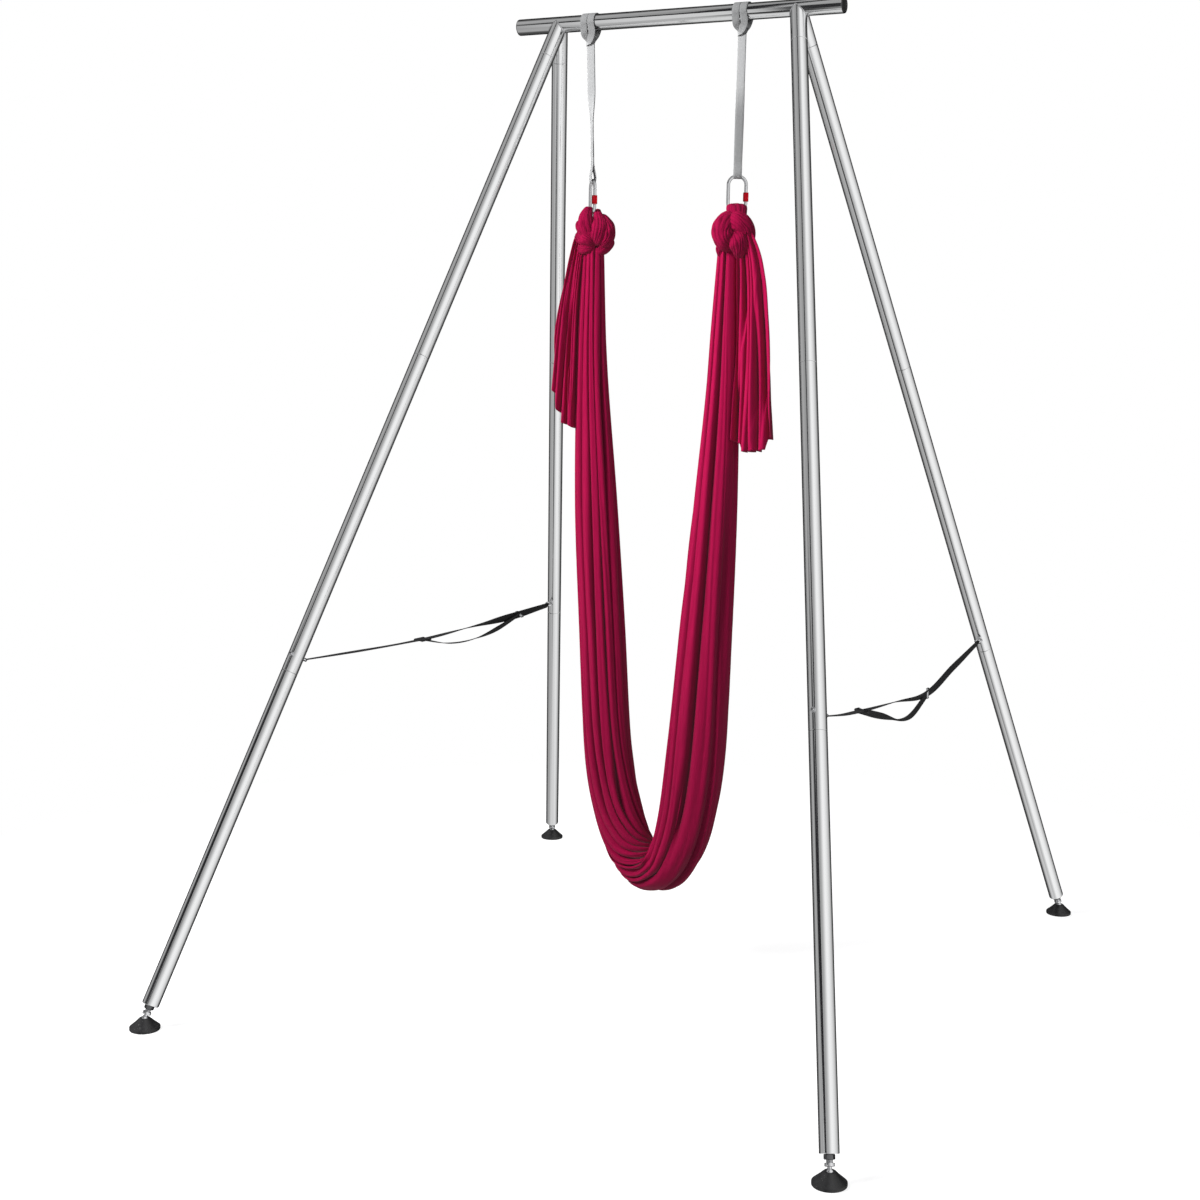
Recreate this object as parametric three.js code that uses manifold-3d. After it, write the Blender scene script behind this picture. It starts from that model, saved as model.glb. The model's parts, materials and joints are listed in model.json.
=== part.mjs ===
// An aerial rig: a round crossbar on four plug-together legs, two webbing slings,
// two screw-lock carabiners and a knotted cloth hammock that hangs in a U.
// Millimetres, +Z up, the crossbar along X, the origin on the floor under the crossbar's middle.
import * as THREE from 'three';
import { mergeVertices } from 'three/addons/utils/BufferGeometryUtils.js';
import Module from 'manifold-3d';

const wasm = await Module();
wasm.setup();

// Frame
const barAxisHeight = 2900;
const barLength = 1050;
const tubeRadius = 24.15;
const tubeWall = 1.5;
const slipGap = 0.3;
const barOverhang = 138;
const legTopX = barLength / 2 - barOverhang;
const legSplayX = 635;
const legFootX = legTopX + legSplayX;
const legFootY = 1200;
const socketReach = 112;
const socketSpigot = 38;
const legTubeCount = 3;
const legSpigot = 80;
const endPlugDepth = 22;
const capFlange = 3;
const capDepth = 20;

// Levelling feet
const stemRadius = 8;
const stemReach = 39.74;
const stemGrip = 48;
const ballRadius = 9;
const ballHeight = 32;
const ballGap = 0.5;
const neckRadius = 5.5;
const neckReach = 11;
const collarRadius = 12;
const collarHeight = 9;
const lockNutAcross = 24;
const lockNutHeight = 13;
const padRadius = 42.5;
const padTopRadius = 14.5;
const padRimHeight = 11;
const padHeight = 34;

// Eye bolts, which lock the lowest leg joint and hold the straps
const eyeBoltRise = 50;
const boltRadius = 4;
const boltCollarRadius = 7;
const boltCollarHeight = 3;
const eyeRingRadius = 11;
const eyeWireRadius = 2.5;
const eyeNutAcross = 13;
const eyeNutHeight = 6.5;

// Spreader straps
const strapWidth = 25;
const strapThickness = 2;
const strapEndWidth = 14;
const strapEndWall = 1.4;
const buckleWall = 3;
const leftStrap = { joinShare: -0.14, slideShare: 0.72, dip: 20, slideDip: 10, slack: 44, joinLength: 60 };
const rightStrap = { joinShare: -0.6, slideShare: 0.24, dip: 34, slideDip: 82, slack: 52, joinLength: 38 };
const slideLength = 14;

// Slings, pivots and carabiners
const leftSlingInset = 107;
const rightSlingInset = 171;
const leftSlingLean = 15;
const rightSlingLean = -3;
const leftHitchX = leftSlingInset - legTopX;
const rightHitchX = legTopX - rightSlingInset;
const leftSling = { x: leftHitchX, pivotX: leftHitchX + leftSlingLean, yaw: -48 };
const rightSling = { x: rightHitchX, pivotX: rightHitchX + rightSlingLean, yaw: 25 };
const pivotDrop = 467;
const webWidth = 25;
const webThickness = 2.5;
const hitchWidth = 50;
const hitchGroove = 2;
const hitchNeck = 48;
const twistLength = 150;
const pivotSwing = 15;
const pivotGap = 0.4;
const rodRadius = 5;
const hookWidth = 52;
const hookHeight = 92;
const hookTopBend = 24;
const hookFootBend = 15;
const hingeDrop = 29;
const tangRadius = 4.6;
const tangHalf = 2;
const pinRadius = 1.8;
const noseDrop = 73;
const sleeveLength = 26;
const sleeveWall = 3;
const sleeveRest = 1;

// Hammock cloth
const clothBulge = 11;
const clothReach = 19;
const knotDrop = 126;
const bandLowest = 313;
const bandInset = 14;
const bandHalfWidth = 95;
const bandHalfDepth = 72;
const knotHalfWidth = 62;
const knotHalfDepth = 48;
const tailTopX = 47;
const tailTopHalf = 15;
const tailHalfDepth = 34;
const leftTail = { hemX: 88, hemHalf: 42, length: 481, hemStep: 102 };
const rightTail = { hemX: 77, hemHalf: 57, length: 579, hemStep: 16 };

// Faceting
const barSides = 24;
const tubeSides = 14;
const smallSides = 12;
const rodSides = 10;
const hexSides = 6;
const overrun = 10;

const steel = new THREE.MeshStandardMaterial({ color: 0xd4d6d8, metalness: 1, roughness: 0.16 });
const brightSteel = new THREE.MeshStandardMaterial({ color: 0xc9ccd0, metalness: 1, roughness: 0.24 });
const darkPlastic = new THREE.MeshStandardMaterial({ color: 0x26282b, roughness: 0.55 });
const blackWebbing = new THREE.MeshStandardMaterial({ color: 0x1b1c1e, roughness: 0.9 });
const greyWebbing = new THREE.MeshStandardMaterial({ color: 0xb9bbbd, roughness: 0.85 });
const redAnodised = new THREE.MeshStandardMaterial({ color: 0xb0182a, metalness: 0.7, roughness: 0.35 });
const crimsonCloth = new THREE.MeshStandardMaterial({ color: 0xa8154a, roughness: 0.6 });

const rig = new THREE.Group();
const xAxis = new THREE.Vector3(1, 0, 0);
const yAxis = new THREE.Vector3(0, 1, 0);
const zAxis = new THREE.Vector3(0, 0, 1);
const quarterTurn = Math.PI / 2;

function solid(geometry) {
  const bare = geometry.clone();
  bare.deleteAttribute('normal');
  bare.deleteAttribute('uv');
  const merged = mergeVertices(bare, 1e-4);
  return new wasm.Manifold(new wasm.Mesh({
    numProp: 3,
    vertProperties: merged.attributes.position.array,
    triVerts: new Uint32Array(merged.index.array),
  }));
}

function surface(body) {
  const mesh = body.getMesh();
  const geometry = new THREE.BufferGeometry();
  geometry.setAttribute('position', new THREE.Float32BufferAttribute(mesh.vertProperties, 3));
  geometry.setIndex(Array.from(mesh.triVerts));
  return geometry;
}

// A slanted cut can leave a loose crumb at a corner: only the largest body stays.
function largest(body) {
  return body.decompose().reduce((kept, other) => (other.volume() > kept.volume() ? other : kept));
}

function addPiece(parent, name, geometry, material) {
  const piece = new THREE.Mesh(geometry, material);
  piece.name = name;
  parent.add(piece);
  return piece;
}

// A turned piece about Z. The profile lists [radius, height] anticlockwise, outer side going up.
function turned(profile, sides) {
  const points = profile.map(([radius, height]) => new THREE.Vector2(radius, height));
  return new THREE.LatheGeometry(points, sides).rotateX(quarterTurn);
}

function closed(profile) {
  return [...profile, profile[0]];
}

function tubeBetween(outer, inner, low, high, sides) {
  return turned(closed([[inner, low], [outer, low], [outer, high], [inner, high]]), sides);
}

// A closed skin over a row of rings with equal numbers of points, each end closed by a fan.
function loft(rings) {
  const count = rings[0].length;
  const positions = rings.flat().flatMap((point) => point.toArray());
  const faces = [];
  for (let row = 0; row < rings.length - 1; row += 1) {
    for (let column = 0; column < count; column += 1) {
      const next = (column + 1) % count;
      const [a, b] = [row * count + column, row * count + next];
      // Opposite sides are split the same way, so a twisted band keeps its thickness.
      faces.push(...(column < count / 2 ? [a, b, b + count, a, b + count, a + count]
        : [a, b, a + count, b, b + count, a + count]));
    }
  }
  for (const row of [0, rings.length - 1]) {
    const middle = rings[row].reduce((sum, point) => sum.add(point), new THREE.Vector3());
    positions.push(...middle.divideScalar(count).toArray());
    const hub = positions.length / 3 - 1;
    for (let column = 0; column < count; column += 1) {
      const [a, b] = [row * count + column, row * count + ((column + 1) % count)];
      faces.push(...(row === 0 ? [hub, b, a] : [hub, a, b]));
    }
  }
  const geometry = new THREE.BufferGeometry();
  geometry.setAttribute('position', new THREE.Float32BufferAttribute(positions, 3));
  geometry.setIndex(faces);
  return geometry;
}

// Points round an ellipse about a centre, in the plane of two unit directions.
function ovalRing(centre, across, deep, halfWidth, halfDepth, sides, share = () => 1) {
  return Array.from({ length: sides }, (_, i) => {
    const angle = (2 * Math.PI * i) / sides;
    const grow = share(angle);
    return centre.clone()
      .addScaledVector(across, halfWidth * grow * Math.cos(angle))
      .addScaledVector(deep, halfDepth * grow * Math.sin(angle));
  });
}

// A rod of one radius along points that lie in a plane square to the given direction.
function rodAlong(points, planeNormal, radius, sides) {
  const rings = points.map((point, i) => {
    const ahead = points[Math.min(i + 1, points.length - 1)];
    const behind = points[Math.max(i - 1, 0)];
    const across = planeNormal.clone().cross(ahead.clone().sub(behind).normalize());
    return ovalRing(point, across, planeNormal, radius, radius, sides);
  });
  return loft(rings);
}

function placed(geometry, matrix) {
  return geometry.clone().applyMatrix4(matrix);
}

// Crossbar, with a plug in each open end
const barTurn = new THREE.Matrix4().makeRotationY(quarterTurn).setPosition(0, 0, barAxisHeight);
const boreRadius = tubeRadius - tubeWall;
const spigotRadius = boreRadius - slipGap;
addPiece(rig, 'crossbar', placed(
  tubeBetween(tubeRadius, boreRadius, -barLength / 2, barLength / 2, barSides), barTurn), steel);

function endCap(sideX) {
  const seat = barLength / 2 + slipGap;
  const profile = [
    [0, seat - capDepth], [spigotRadius, seat - capDepth], [spigotRadius, seat], [tubeRadius, seat],
    [tubeRadius, seat + capFlange / 2], [tubeRadius - capFlange / 2, seat + capFlange],
    [0, seat + capFlange],
  ];
  const cap = turned(profile, barSides);
  if (sideX < 0) cap.rotateX(Math.PI);
  return placed(cap, barTurn);
}
addPiece(rig, 'end_cap_left', endCap(-1), darkPlastic);
addPiece(rig, 'end_cap_right', endCap(1), darkPlastic);

// Each leg has its own frame: origin where its axis crosses the crossbar's, local Z up the leg,
// local Y towards the middle of the rig.
function legMatrix(sideX, sideY) {
  const top = new THREE.Vector3(sideX * legTopX, 0, barAxisHeight);
  const up = top.clone().sub(new THREE.Vector3(sideX * legFootX, sideY * legFootY, 0)).normalize();
  const inward = new THREE.Vector3(0, -sideY, 0);
  inward.addScaledVector(up, -inward.dot(up)).normalize();
  const across = inward.clone().cross(up);
  return new THREE.Matrix4().makeBasis(across, inward, up).setPosition(top);
}
const legSlope = barAxisHeight / Math.hypot(legFootX - legTopX, legFootY, barAxisHeight);
const ballReach = (barAxisHeight - ballHeight) / legSlope;
const legTubesReach = ballReach - stemReach;
const legTubeReach = (legTubesReach - socketReach) / legTubeCount;
const eyeReach = legTubesReach - legTubeReach - eyeBoltRise;
const eyeSeat = tubeRadius + slipGap;
const eyeCentre = eyeSeat + boltCollarHeight + eyeRingRadius;

// The flats of a faceted ring lie inside its corners, so what turns on the crossbar is drawn larger.
const hitchBore = (tubeRadius + slipGap) / Math.cos(Math.PI / barSides);
const barCut = solid(placed(turned([
  [0, -barLength], [hitchBore, -barLength], [hitchBore, barLength], [0, barLength],
], barSides), barTurn));

// A stub welded under the crossbar, mitred against its pair and coped to the crossbar
function socket(matrix, sideY) {
  const stub = solid(placed(
    tubeBetween(tubeRadius, boreRadius, slipGap - socketReach, 0, tubeSides), matrix));
  const miter = new THREE.BoxGeometry(barLength, socketReach * 2, socketReach * 4);
  miter.translate(Math.sign(matrix.elements[12]) * legTopX,
    sideY * (slipGap / 2 - socketReach), barAxisHeight);
  return surface(stub.subtract(solid(miter)).subtract(barCut));
}

function legTube(index) {
  const top = -(socketReach + index * legTubeReach);
  const foot = top - legTubeReach;
  const spigot = index === 0 ? socketSpigot : legSpigot;
  const profile = [
    [tubeRadius, foot + slipGap], [tubeRadius, top], [spigotRadius, top], [spigotRadius, top + spigot],
    [spigotRadius - tubeWall, top + spigot], [spigotRadius - tubeWall, top - tubeWall],
    [boreRadius, top - 2 * tubeWall],
  ];
  const isLowest = index === legTubeCount - 1;
  if (isLowest) {
    profile.push([boreRadius, foot + endPlugDepth], [stemRadius + slipGap, foot + endPlugDepth],
      [stemRadius + slipGap, foot + slipGap]);
  } else {
    profile.push([boreRadius, foot + slipGap]);
  }
  const tube = turned(closed(profile), tubeSides);
  if (index === 0) return tube;
  const drill = new THREE.CylinderGeometry(boltRadius + slipGap, boltRadius + slipGap,
    2 * tubeRadius + overrun, smallSides).translate(0, 0, -eyeReach);
  return surface(solid(tube).subtract(solid(drill)));
}

function eyeRing(grow) {
  return new THREE.TorusGeometry(eyeRingRadius, eyeWireRadius + grow, 6, 12)
    .translate(0, eyeCentre, -eyeReach);
}

function eyeBolt() {
  const collarTop = eyeSeat + boltCollarHeight;
  const shank = turned([
    [0, -eyeSeat - eyeNutHeight - boltRadius], [boltRadius, -eyeSeat - eyeNutHeight - boltRadius],
    [boltRadius, eyeSeat], [boltCollarRadius, eyeSeat], [boltCollarRadius, collarTop], [0, collarTop],
  ], smallSides).rotateX(-quarterTurn).translate(0, 0, -eyeReach);
  return surface(solid(eyeRing(0)).add(solid(shank)));
}

function hexNut(across, height, boreRadiusOfNut) {
  const corner = across / 2 / Math.cos(Math.PI / hexSides);
  const prism = turned([[0, 0], [corner, 0], [corner, height], [0, height]], hexSides);
  const bore = turned([
    [0, -overrun], [boreRadiusOfNut, -overrun], [boreRadiusOfNut, height + overrun], [0, height + overrun],
  ], smallSides);
  return surface(solid(prism).subtract(solid(bore)));
}

function footStem() {
  const arcSteps = 4;
  const profile = [];
  const neckAngle = Math.acos(neckRadius / ballRadius);
  for (let i = 0; i <= arcSteps; i += 1) {
    const angle = -quarterTurn + ((neckAngle + quarterTurn) * i) / arcSteps;
    profile.push([i === 0 ? 0 : ballRadius * Math.cos(angle), ballRadius * Math.sin(angle)]);
  }
  const rodTop = stemReach + stemGrip;
  profile.push([neckRadius, neckReach], [collarRadius, neckReach], [collarRadius, neckReach + collarHeight],
    [stemRadius, neckReach + collarHeight], [stemRadius, rodTop], [0, rodTop]);
  return turned(profile, smallSides).translate(0, 0, -ballReach);
}

function footPad() {
  const cup = ballRadius + ballGap;
  const lipAngle = Math.asin((padHeight - ballHeight) / cup);
  const arcSteps = 5;
  const edge = (padHeight - padRimHeight) / 10;
  const profile = [
    [0, 0], [padRadius - edge, 0], [padRadius, edge], [padRadius, padRimHeight - edge],
    [padRadius - edge, padRimHeight], [padTopRadius, padHeight],
  ];
  for (let i = 0; i <= arcSteps; i += 1) {
    const angle = lipAngle - ((lipAngle + quarterTurn) * i) / arcSteps;
    profile.push([i === arcSteps ? 0 : cup * Math.cos(angle), ballHeight + cup * Math.sin(angle)]);
  }
  return turned(profile, tubeSides);
}

const legs = [
  { place: 'front_left', sideX: -1, sideY: -1 }, { place: 'front_right', sideX: 1, sideY: -1 },
  { place: 'rear_left', sideX: -1, sideY: 1 }, { place: 'rear_right', sideX: 1, sideY: 1 },
];
const tubeNames = ['upper', 'middle', 'lower'];
for (const { place, sideX, sideY } of legs) {
  const matrix = legMatrix(sideX, sideY);
  const leg = new THREE.Group();
  leg.applyMatrix4(matrix);
  rig.add(leg);
  addPiece(rig, `leg_socket_${place}`, socket(matrix, sideY), steel);
  tubeNames.forEach((name, index) => addPiece(leg, `leg_tube_${name}_${place}`, legTube(index), steel));
  addPiece(leg, `eye_bolt_${place}`, eyeBolt(), brightSteel);
  const nut = addPiece(leg, `eye_bolt_nut_${place}`,
    hexNut(eyeNutAcross, eyeNutHeight, boltRadius + slipGap), brightSteel);
  nut.rotation.x = quarterTurn;
  nut.position.set(0, -eyeSeat, -eyeReach);
  addPiece(leg, `foot_stem_${place}`, footStem(), brightSteel);
  const lockNut = addPiece(leg, `foot_lock_nut_${place}`,
    hexNut(lockNutAcross, lockNutHeight, stemRadius + slipGap), brightSteel);
  lockNut.position.z = -legTubesReach - lockNutHeight;
  const ball = new THREE.Vector3(0, 0, -ballReach).applyMatrix4(matrix);
  addPiece(rig, `foot_pad_${place}`, footPad(), darkPlastic).position.set(ball.x, ball.y, 0);
}

// Spreader straps. Each runs from the front eye through a joining buckle and a slide to the rear eye,
// with a slack lower strand between the two buckles.
function ribbon(points, turnShares, halfWidths, grow) {
  const path = new THREE.CatmullRomCurve3(points);
  const turns = new THREE.CatmullRomCurve3(turnShares.map((share, i) => (
    new THREE.Vector3(share * quarterTurn, halfWidths[i], 0))));
  const steps = (points.length - 1) * 3;
  const rings = Array.from({ length: steps + 1 }, (_, i) => {
    const centre = path.getPoint(i / steps);
    const along = path.getTangent(i / steps);
    const { x: angle, y: half } = turns.getPoint(i / steps);
    const flatNormal = along.clone().cross(xAxis).normalize();
    const wide = xAxis.clone().applyAxisAngle(along, angle);
    const thin = flatNormal.applyAxisAngle(along, angle);
    const [w, t] = [half + grow, strapThickness / 2 + grow];
    return [[1, 1], [-1, 1], [-1, -1], [1, -1]].map(([a, b]) => (
      centre.clone().addScaledVector(wide, a * w).addScaledVector(thin, b * t)));
  });
  return solid(loft(rings));
}

function straps(side, sideX, plan) {
  const ringEdge = (sideY) => (
    new THREE.Vector3(0, eyeCentre + eyeRingRadius, -eyeReach).applyMatrix4(legMatrix(sideX, sideY)));
  const rear = ringEdge(1);
  const at = (share, drop) => new THREE.Vector3(rear.x, share * rear.y, rear.z - drop);
  const join = at(plan.joinShare, plan.dip);
  const slide = at(plan.slideShare, plan.slideDip);
  const middleShare = (plan.joinShare + plan.slideShare) / 2;
  const wide = strapWidth / 2;
  const narrow = strapEndWidth * 0.4;
  const upperWay = [
    ringEdge(-1), at((plan.joinShare - 1) / 2, plan.dip * 0.6), join,
    at(middleShare, (plan.dip + plan.slideDip) / 2), slide, at((plan.slideShare + 1) / 2, plan.slideDip / 2),
    rear,
  ];
  const upperTurnShares = [0, 0.1, 0.5, 0.75, 0.75, 0.75, 0];
  const upperHalves = [narrow, wide, wide, wide, wide, wide, narrow];
  const lowDip = (plan.dip + plan.slideDip) / 2 + plan.slack;
  const under = new THREE.Vector3(0, 0, -strapThickness * 0.6);
  const lowerWay = [
    join.clone().add(under), at((plan.joinShare * 3 + plan.slideShare) / 4, plan.dip + plan.slack * 0.75),
    at(middleShare, lowDip), at((plan.joinShare + plan.slideShare * 3) / 4, plan.slideDip + plan.slack * 0.75),
    slide.clone().add(under),
  ];
  const lowerTurnShares = [0.1, 0.3, 0.2, 0.6, 0.3];
  const tucked = wide * 0.85;
  const strap = (grow) => ribbon(upperWay, upperTurnShares, upperHalves, grow)
    .add(ribbon(lowerWay, lowerTurnShares, [tucked, wide, wide, wide, tucked], grow));
  const grown = strap(slipGap);

  let webbing = strap(0);
  for (const sideY of [-1, 1]) {
    const matrix = legMatrix(sideX, sideY);
    const girth = 2 * (eyeWireRadius + slipGap + strapEndWall);
    const wrap = new THREE.BoxGeometry(strapEndWidth, girth, girth);
    wrap.translate(0, eyeCentre + eyeRingRadius, -eyeReach);
    webbing = webbing.add(solid(placed(wrap, matrix)))
      .subtract(solid(placed(eyeRing(slipGap), matrix)));
  }
  addPiece(rig, `spreader_strap_${side}`, surface(webbing), blackWebbing);

  const buckle = (place, length, tall) => {
    const block = new THREE.BoxGeometry(strapWidth + 2 * buckleWall, length, tall);
    return surface(largest(solid(block.translate(place.x, place.y, place.z)).subtract(grown)));
  };
  addPiece(rig, `joining_buckle_${side}`, buckle(join, plan.joinLength, strapWidth + 2 * buckleWall),
    darkPlastic);
  addPiece(rig, `slide_buckle_${side}`, buckle(slide, slideLength, strapWidth + 4 * buckleWall),
    darkPlastic);
}
straps('left', -1, leftStrap);
straps('right', 1, rightStrap);

// Carabiner in its own frame: origin at the middle of the top bend's rod, +X to the gate side
function arcPoints(centreX, centreZ, radius, fromAngle, toAngle, steps) {
  return Array.from({ length: steps + 1 }, (_, i) => {
    const angle = fromAngle + ((toAngle - fromAngle) * i) / steps;
    return new THREE.Vector3(centreX + radius * Math.cos(angle), 0, centreZ + radius * Math.sin(angle));
  });
}
const hookHalf = hookWidth / 2;
function hookPoints() {
  const topX = hookHalf - hookTopBend;
  const footX = hookHalf - hookFootBend;
  return [
    new THREE.Vector3(hookHalf, 0, -noseDrop),
    ...arcPoints(footX, hookFootBend - hookHeight, hookFootBend, 0, -quarterTurn, 4),
    ...arcPoints(-footX, hookFootBend - hookHeight, hookFootBend, -quarterTurn, -2 * quarterTurn, 4),
    ...arcPoints(-topX, -hookTopBend, hookTopBend, 2 * quarterTurn, quarterTurn, 6),
    ...arcPoints(topX, -hookTopBend, hookTopBend, quarterTurn, 0, 6),
    new THREE.Vector3(hookHalf, 0, -hingeDrop - tangRadius),
  ];
}
const hookRod = (grow) => rodAlong(hookPoints(), yAxis, rodRadius + grow, rodSides);
const crossPin = (radius, half) => new THREE.CylinderGeometry(radius, radius, 2 * half, smallSides)
  .translate(hookHalf, 0, -hingeDrop);
const slotRadius = Math.hypot(rodRadius, tangRadius) + 2 * slipGap;

function carabinerBody() {
  const side = 2 * slotRadius;
  const cheek = (facing) => new THREE.BoxGeometry(side, side, 2 * slotRadius)
    .translate(hookHalf, facing * (tangHalf + side / 2), -hingeDrop);
  return solid(hookRod(0)).subtract(solid(cheek(1))).subtract(solid(cheek(-1)))
    .subtract(solid(crossPin(pinRadius + slipGap, rodRadius + overrun)));
}

function carabinerGate() {
  const foot = slipGap - noseDrop;
  const rod = turned([[0, foot], [rodRadius, foot], [rodRadius, -hingeDrop], [0, -hingeDrop]], smallSides);
  return solid(rod.translate(hookHalf, 0, 0)).add(solid(crossPin(rodRadius, rodRadius - slipGap)))
    .subtract(solid(crossPin(slotRadius, tangHalf + slipGap)))
    .add(solid(crossPin(pinRadius, rodRadius - slipGap)));
}

function carabinerMatrix(sling) {
  return new THREE.Matrix4().makeRotationZ(THREE.MathUtils.degToRad(sling.yaw))
    .setPosition(sling.pivotX, 0, barAxisHeight - pivotDrop);
}

function addCarabiner(side, sling) {
  const hook = new THREE.Group();
  hook.applyMatrix4(carabinerMatrix(sling));
  rig.add(hook);
  addPiece(hook, `carabiner_body_${side}`, surface(carabinerBody()), steel);
  addPiece(hook, `carabiner_gate_${side}`, surface(carabinerGate()), steel);
  const bore = rodRadius + slipGap;
  const sleeve = tubeBetween(bore + sleeveWall, bore, 0, sleeveLength, smallSides);
  addPiece(hook, `screw_sleeve_${side}`, sleeve, redAnodised)
    .position.set(hookHalf, 0, sleeveRest - noseDrop);
}

// A sling: two turns round the crossbar, a choke under it, and a doubled band down to a bight
// that the carabiner's top bend hangs in.
function sling(plan) {
  const inner = hitchBore;
  const outer = inner + webThickness;
  const half = hitchWidth / 2;
  const shallow = (inner + outer) / 2;
  const hitch = turned(closed([
    [inner, -half], [outer, -half], [outer, -hitchGroove], [shallow, -hitchGroove / 2],
    [shallow, hitchGroove / 2], [outer, hitchGroove], [outer, half], [inner, half],
  ]), barSides).rotateY(quarterTurn).translate(plan.x, 0, barAxisHeight);
  const yaw = THREE.MathUtils.degToRad(plan.yaw);
  const bandTop = tubeRadius + hitchNeck;
  const flat = (drop, halfWidth, halfDepth, share) => {
    const middle = new THREE.Vector3(
      plan.x + ((plan.pivotX - plan.x) * Math.max(drop - bandTop, 0)) / (pivotDrop - bandTop),
      0, barAxisHeight - drop);
    const wide = xAxis.clone().applyAxisAngle(zAxis, yaw * share);
    const deep = yAxis.clone().applyAxisAngle(zAxis, yaw * share);
    return [[1, 1], [-1, 1], [-1, -1], [1, -1]].map(([a, b]) => (
      middle.clone().addScaledVector(wide, a * halfWidth).addScaledVector(deep, b * halfDepth)));
  };
  const webHalf = webWidth / 2;
  const rings = [
    flat(0, half, outer - slipGap, 0), flat(tubeRadius * 0.6, half, outer * 0.85, 0),
    flat(outer + webThickness, half * 0.8, outer * 0.5, 0), flat(bandTop, webHalf, webThickness, 0),
    flat(pivotDrop - twistLength, webHalf, webThickness, 0),
    flat(pivotDrop - twistLength * 0.75, webHalf, webThickness, 0.16),
    flat(pivotDrop - twistLength * 0.5, webHalf, webThickness, 0.5),
    flat(pivotDrop - twistLength * 0.25, webHalf, webThickness, 0.84),
    flat(pivotDrop - rodRadius, webHalf, webThickness, 1),
  ].reverse();
  const pivot = new THREE.Matrix4().makeTranslation(plan.pivotX, 0, barAxisHeight - pivotDrop);
  const hookPlace = carabinerMatrix(plan);
  const bend = Math.asin(webHalf / hookTopBend) / quarterTurn;
  const bight = rodAlong(
    arcPoints(0, -hookTopBend, hookTopBend, quarterTurn * (1 + bend), quarterTurn * (1 - bend), 6),
    yAxis, rodRadius + webThickness + 4 * slipGap, rodSides);
  let body = solid(hitch).add(solid(loft(rings)).subtract(barCut)).add(solid(placed(bight, hookPlace)));
  for (const tiltShare of [-1, 0, 1]) {
    const tilt = new THREE.Matrix4().makeRotationX(THREE.MathUtils.degToRad(pivotSwing * tiltShare));
    const swung = pivot.clone().multiply(tilt).multiply(pivot.clone().invert()).multiply(hookPlace);
    body = body.subtract(solid(placed(hookRod(pivotGap), swung)));
  }
  return body;
}
addPiece(rig, 'sling_left', surface(sling(leftSling)), greyWebbing);
addPiece(rig, 'sling_right', surface(sling(rightSling)), greyWebbing);
addCarabiner('left', leftSling);
addCarabiner('right', rightSling);

// Hammock cloth. The knots hang from the carabiners' foot rods, and the band reaches down from them
// to its lowest point. Folds only ever draw the outline in, so the half sizes are the outermost reach.
const bandMiddleX = (leftSling.pivotX + rightSling.pivotX) / 2;
const bandHalfSpread = (rightSling.pivotX - leftSling.pivotX) / 2 - bandInset;
const footRodHeight = barAxisHeight - pivotDrop - hookHeight;
const knotFoot = footRodHeight - knotDrop;

function folds(count, depthShare, phase) {
  return (angle) => 1 - depthShare * (0.5 + 0.5 * Math.cos(count * angle + phase));
}

// Across, height, half-width and half-depth along the band, from the left knot to the right one
const bandShares = [
  [-1, 1, 0.35, 0.42], [-0.996, 0.808, 0.53, 0.56], [-0.916, 0.602, 0.73, 0.7],
  [-0.8, 0.403, 0.8, 0.78], [-0.676, 0.203, 0.84, 0.84], [-0.507, 0.098, 0.85, 0.9],
  [-0.258, 0.029, 0.8, 0.96], [0.022, 0, 0.78, 1], [0.329, 0.017, 0.84, 0.96],
  [0.551, 0.083, 0.96, 0.9], [0.693, 0.214, 1, 0.84], [0.791, 0.403, 0.88, 0.78],
  [0.884, 0.608, 0.73, 0.7], [0.96, 0.808, 0.53, 0.56], [1, 1, 0.35, 0.42],
];

function hammockBand() {
  const bandTop = knotFoot - slipGap;
  const path = new THREE.CatmullRomCurve3(bandShares.map(([across, height]) => new THREE.Vector3(
    bandMiddleX + across * bandHalfSpread, 0, bandLowest + height * (bandTop - bandLowest))));
  const sizes = new THREE.CatmullRomCurve3(bandShares.map(([, , width, depth]) => new THREE.Vector3(
    width * bandHalfWidth, depth * bandHalfDepth, 0)));
  const stations = (bandShares.length - 1) * 2;
  const foldCount = 8;
  const rings = Array.from({ length: stations + 1 }, (_, i) => {
    const u = i / stations;
    const isEnd = i === 0 || i === stations;
    const along = isEnd ? zAxis.clone().multiplyScalar(i === 0 ? -1 : 1) : path.getTangent(u);
    const size = sizes.getPoint(u);
    return ovalRing(path.getPoint(u), yAxis.clone().cross(along), yAxis, size.x, size.y,
      foldCount * 4, folds(foldCount, 0.2, u * Math.PI));
  });
  return loft(rings);
}
addPiece(rig, 'hammock_band', hammockBand(), crimsonCloth);

const knotFolds = 6;

// Inward and upward places and half sizes of a knot's rings, from its flat foot to the carabiner
const knotShares = [
  [0.03, 0, 0.97, 0.85], [0.1, 0.17, 1, 0.97], [0.16, 0.38, 0.97, 1], [0.12, 0.58, 0.8, 0.84],
  [0.04, 0.76, 0.6, 0.6], [0, 0.93, 0.42, 0.36],
];

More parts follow.
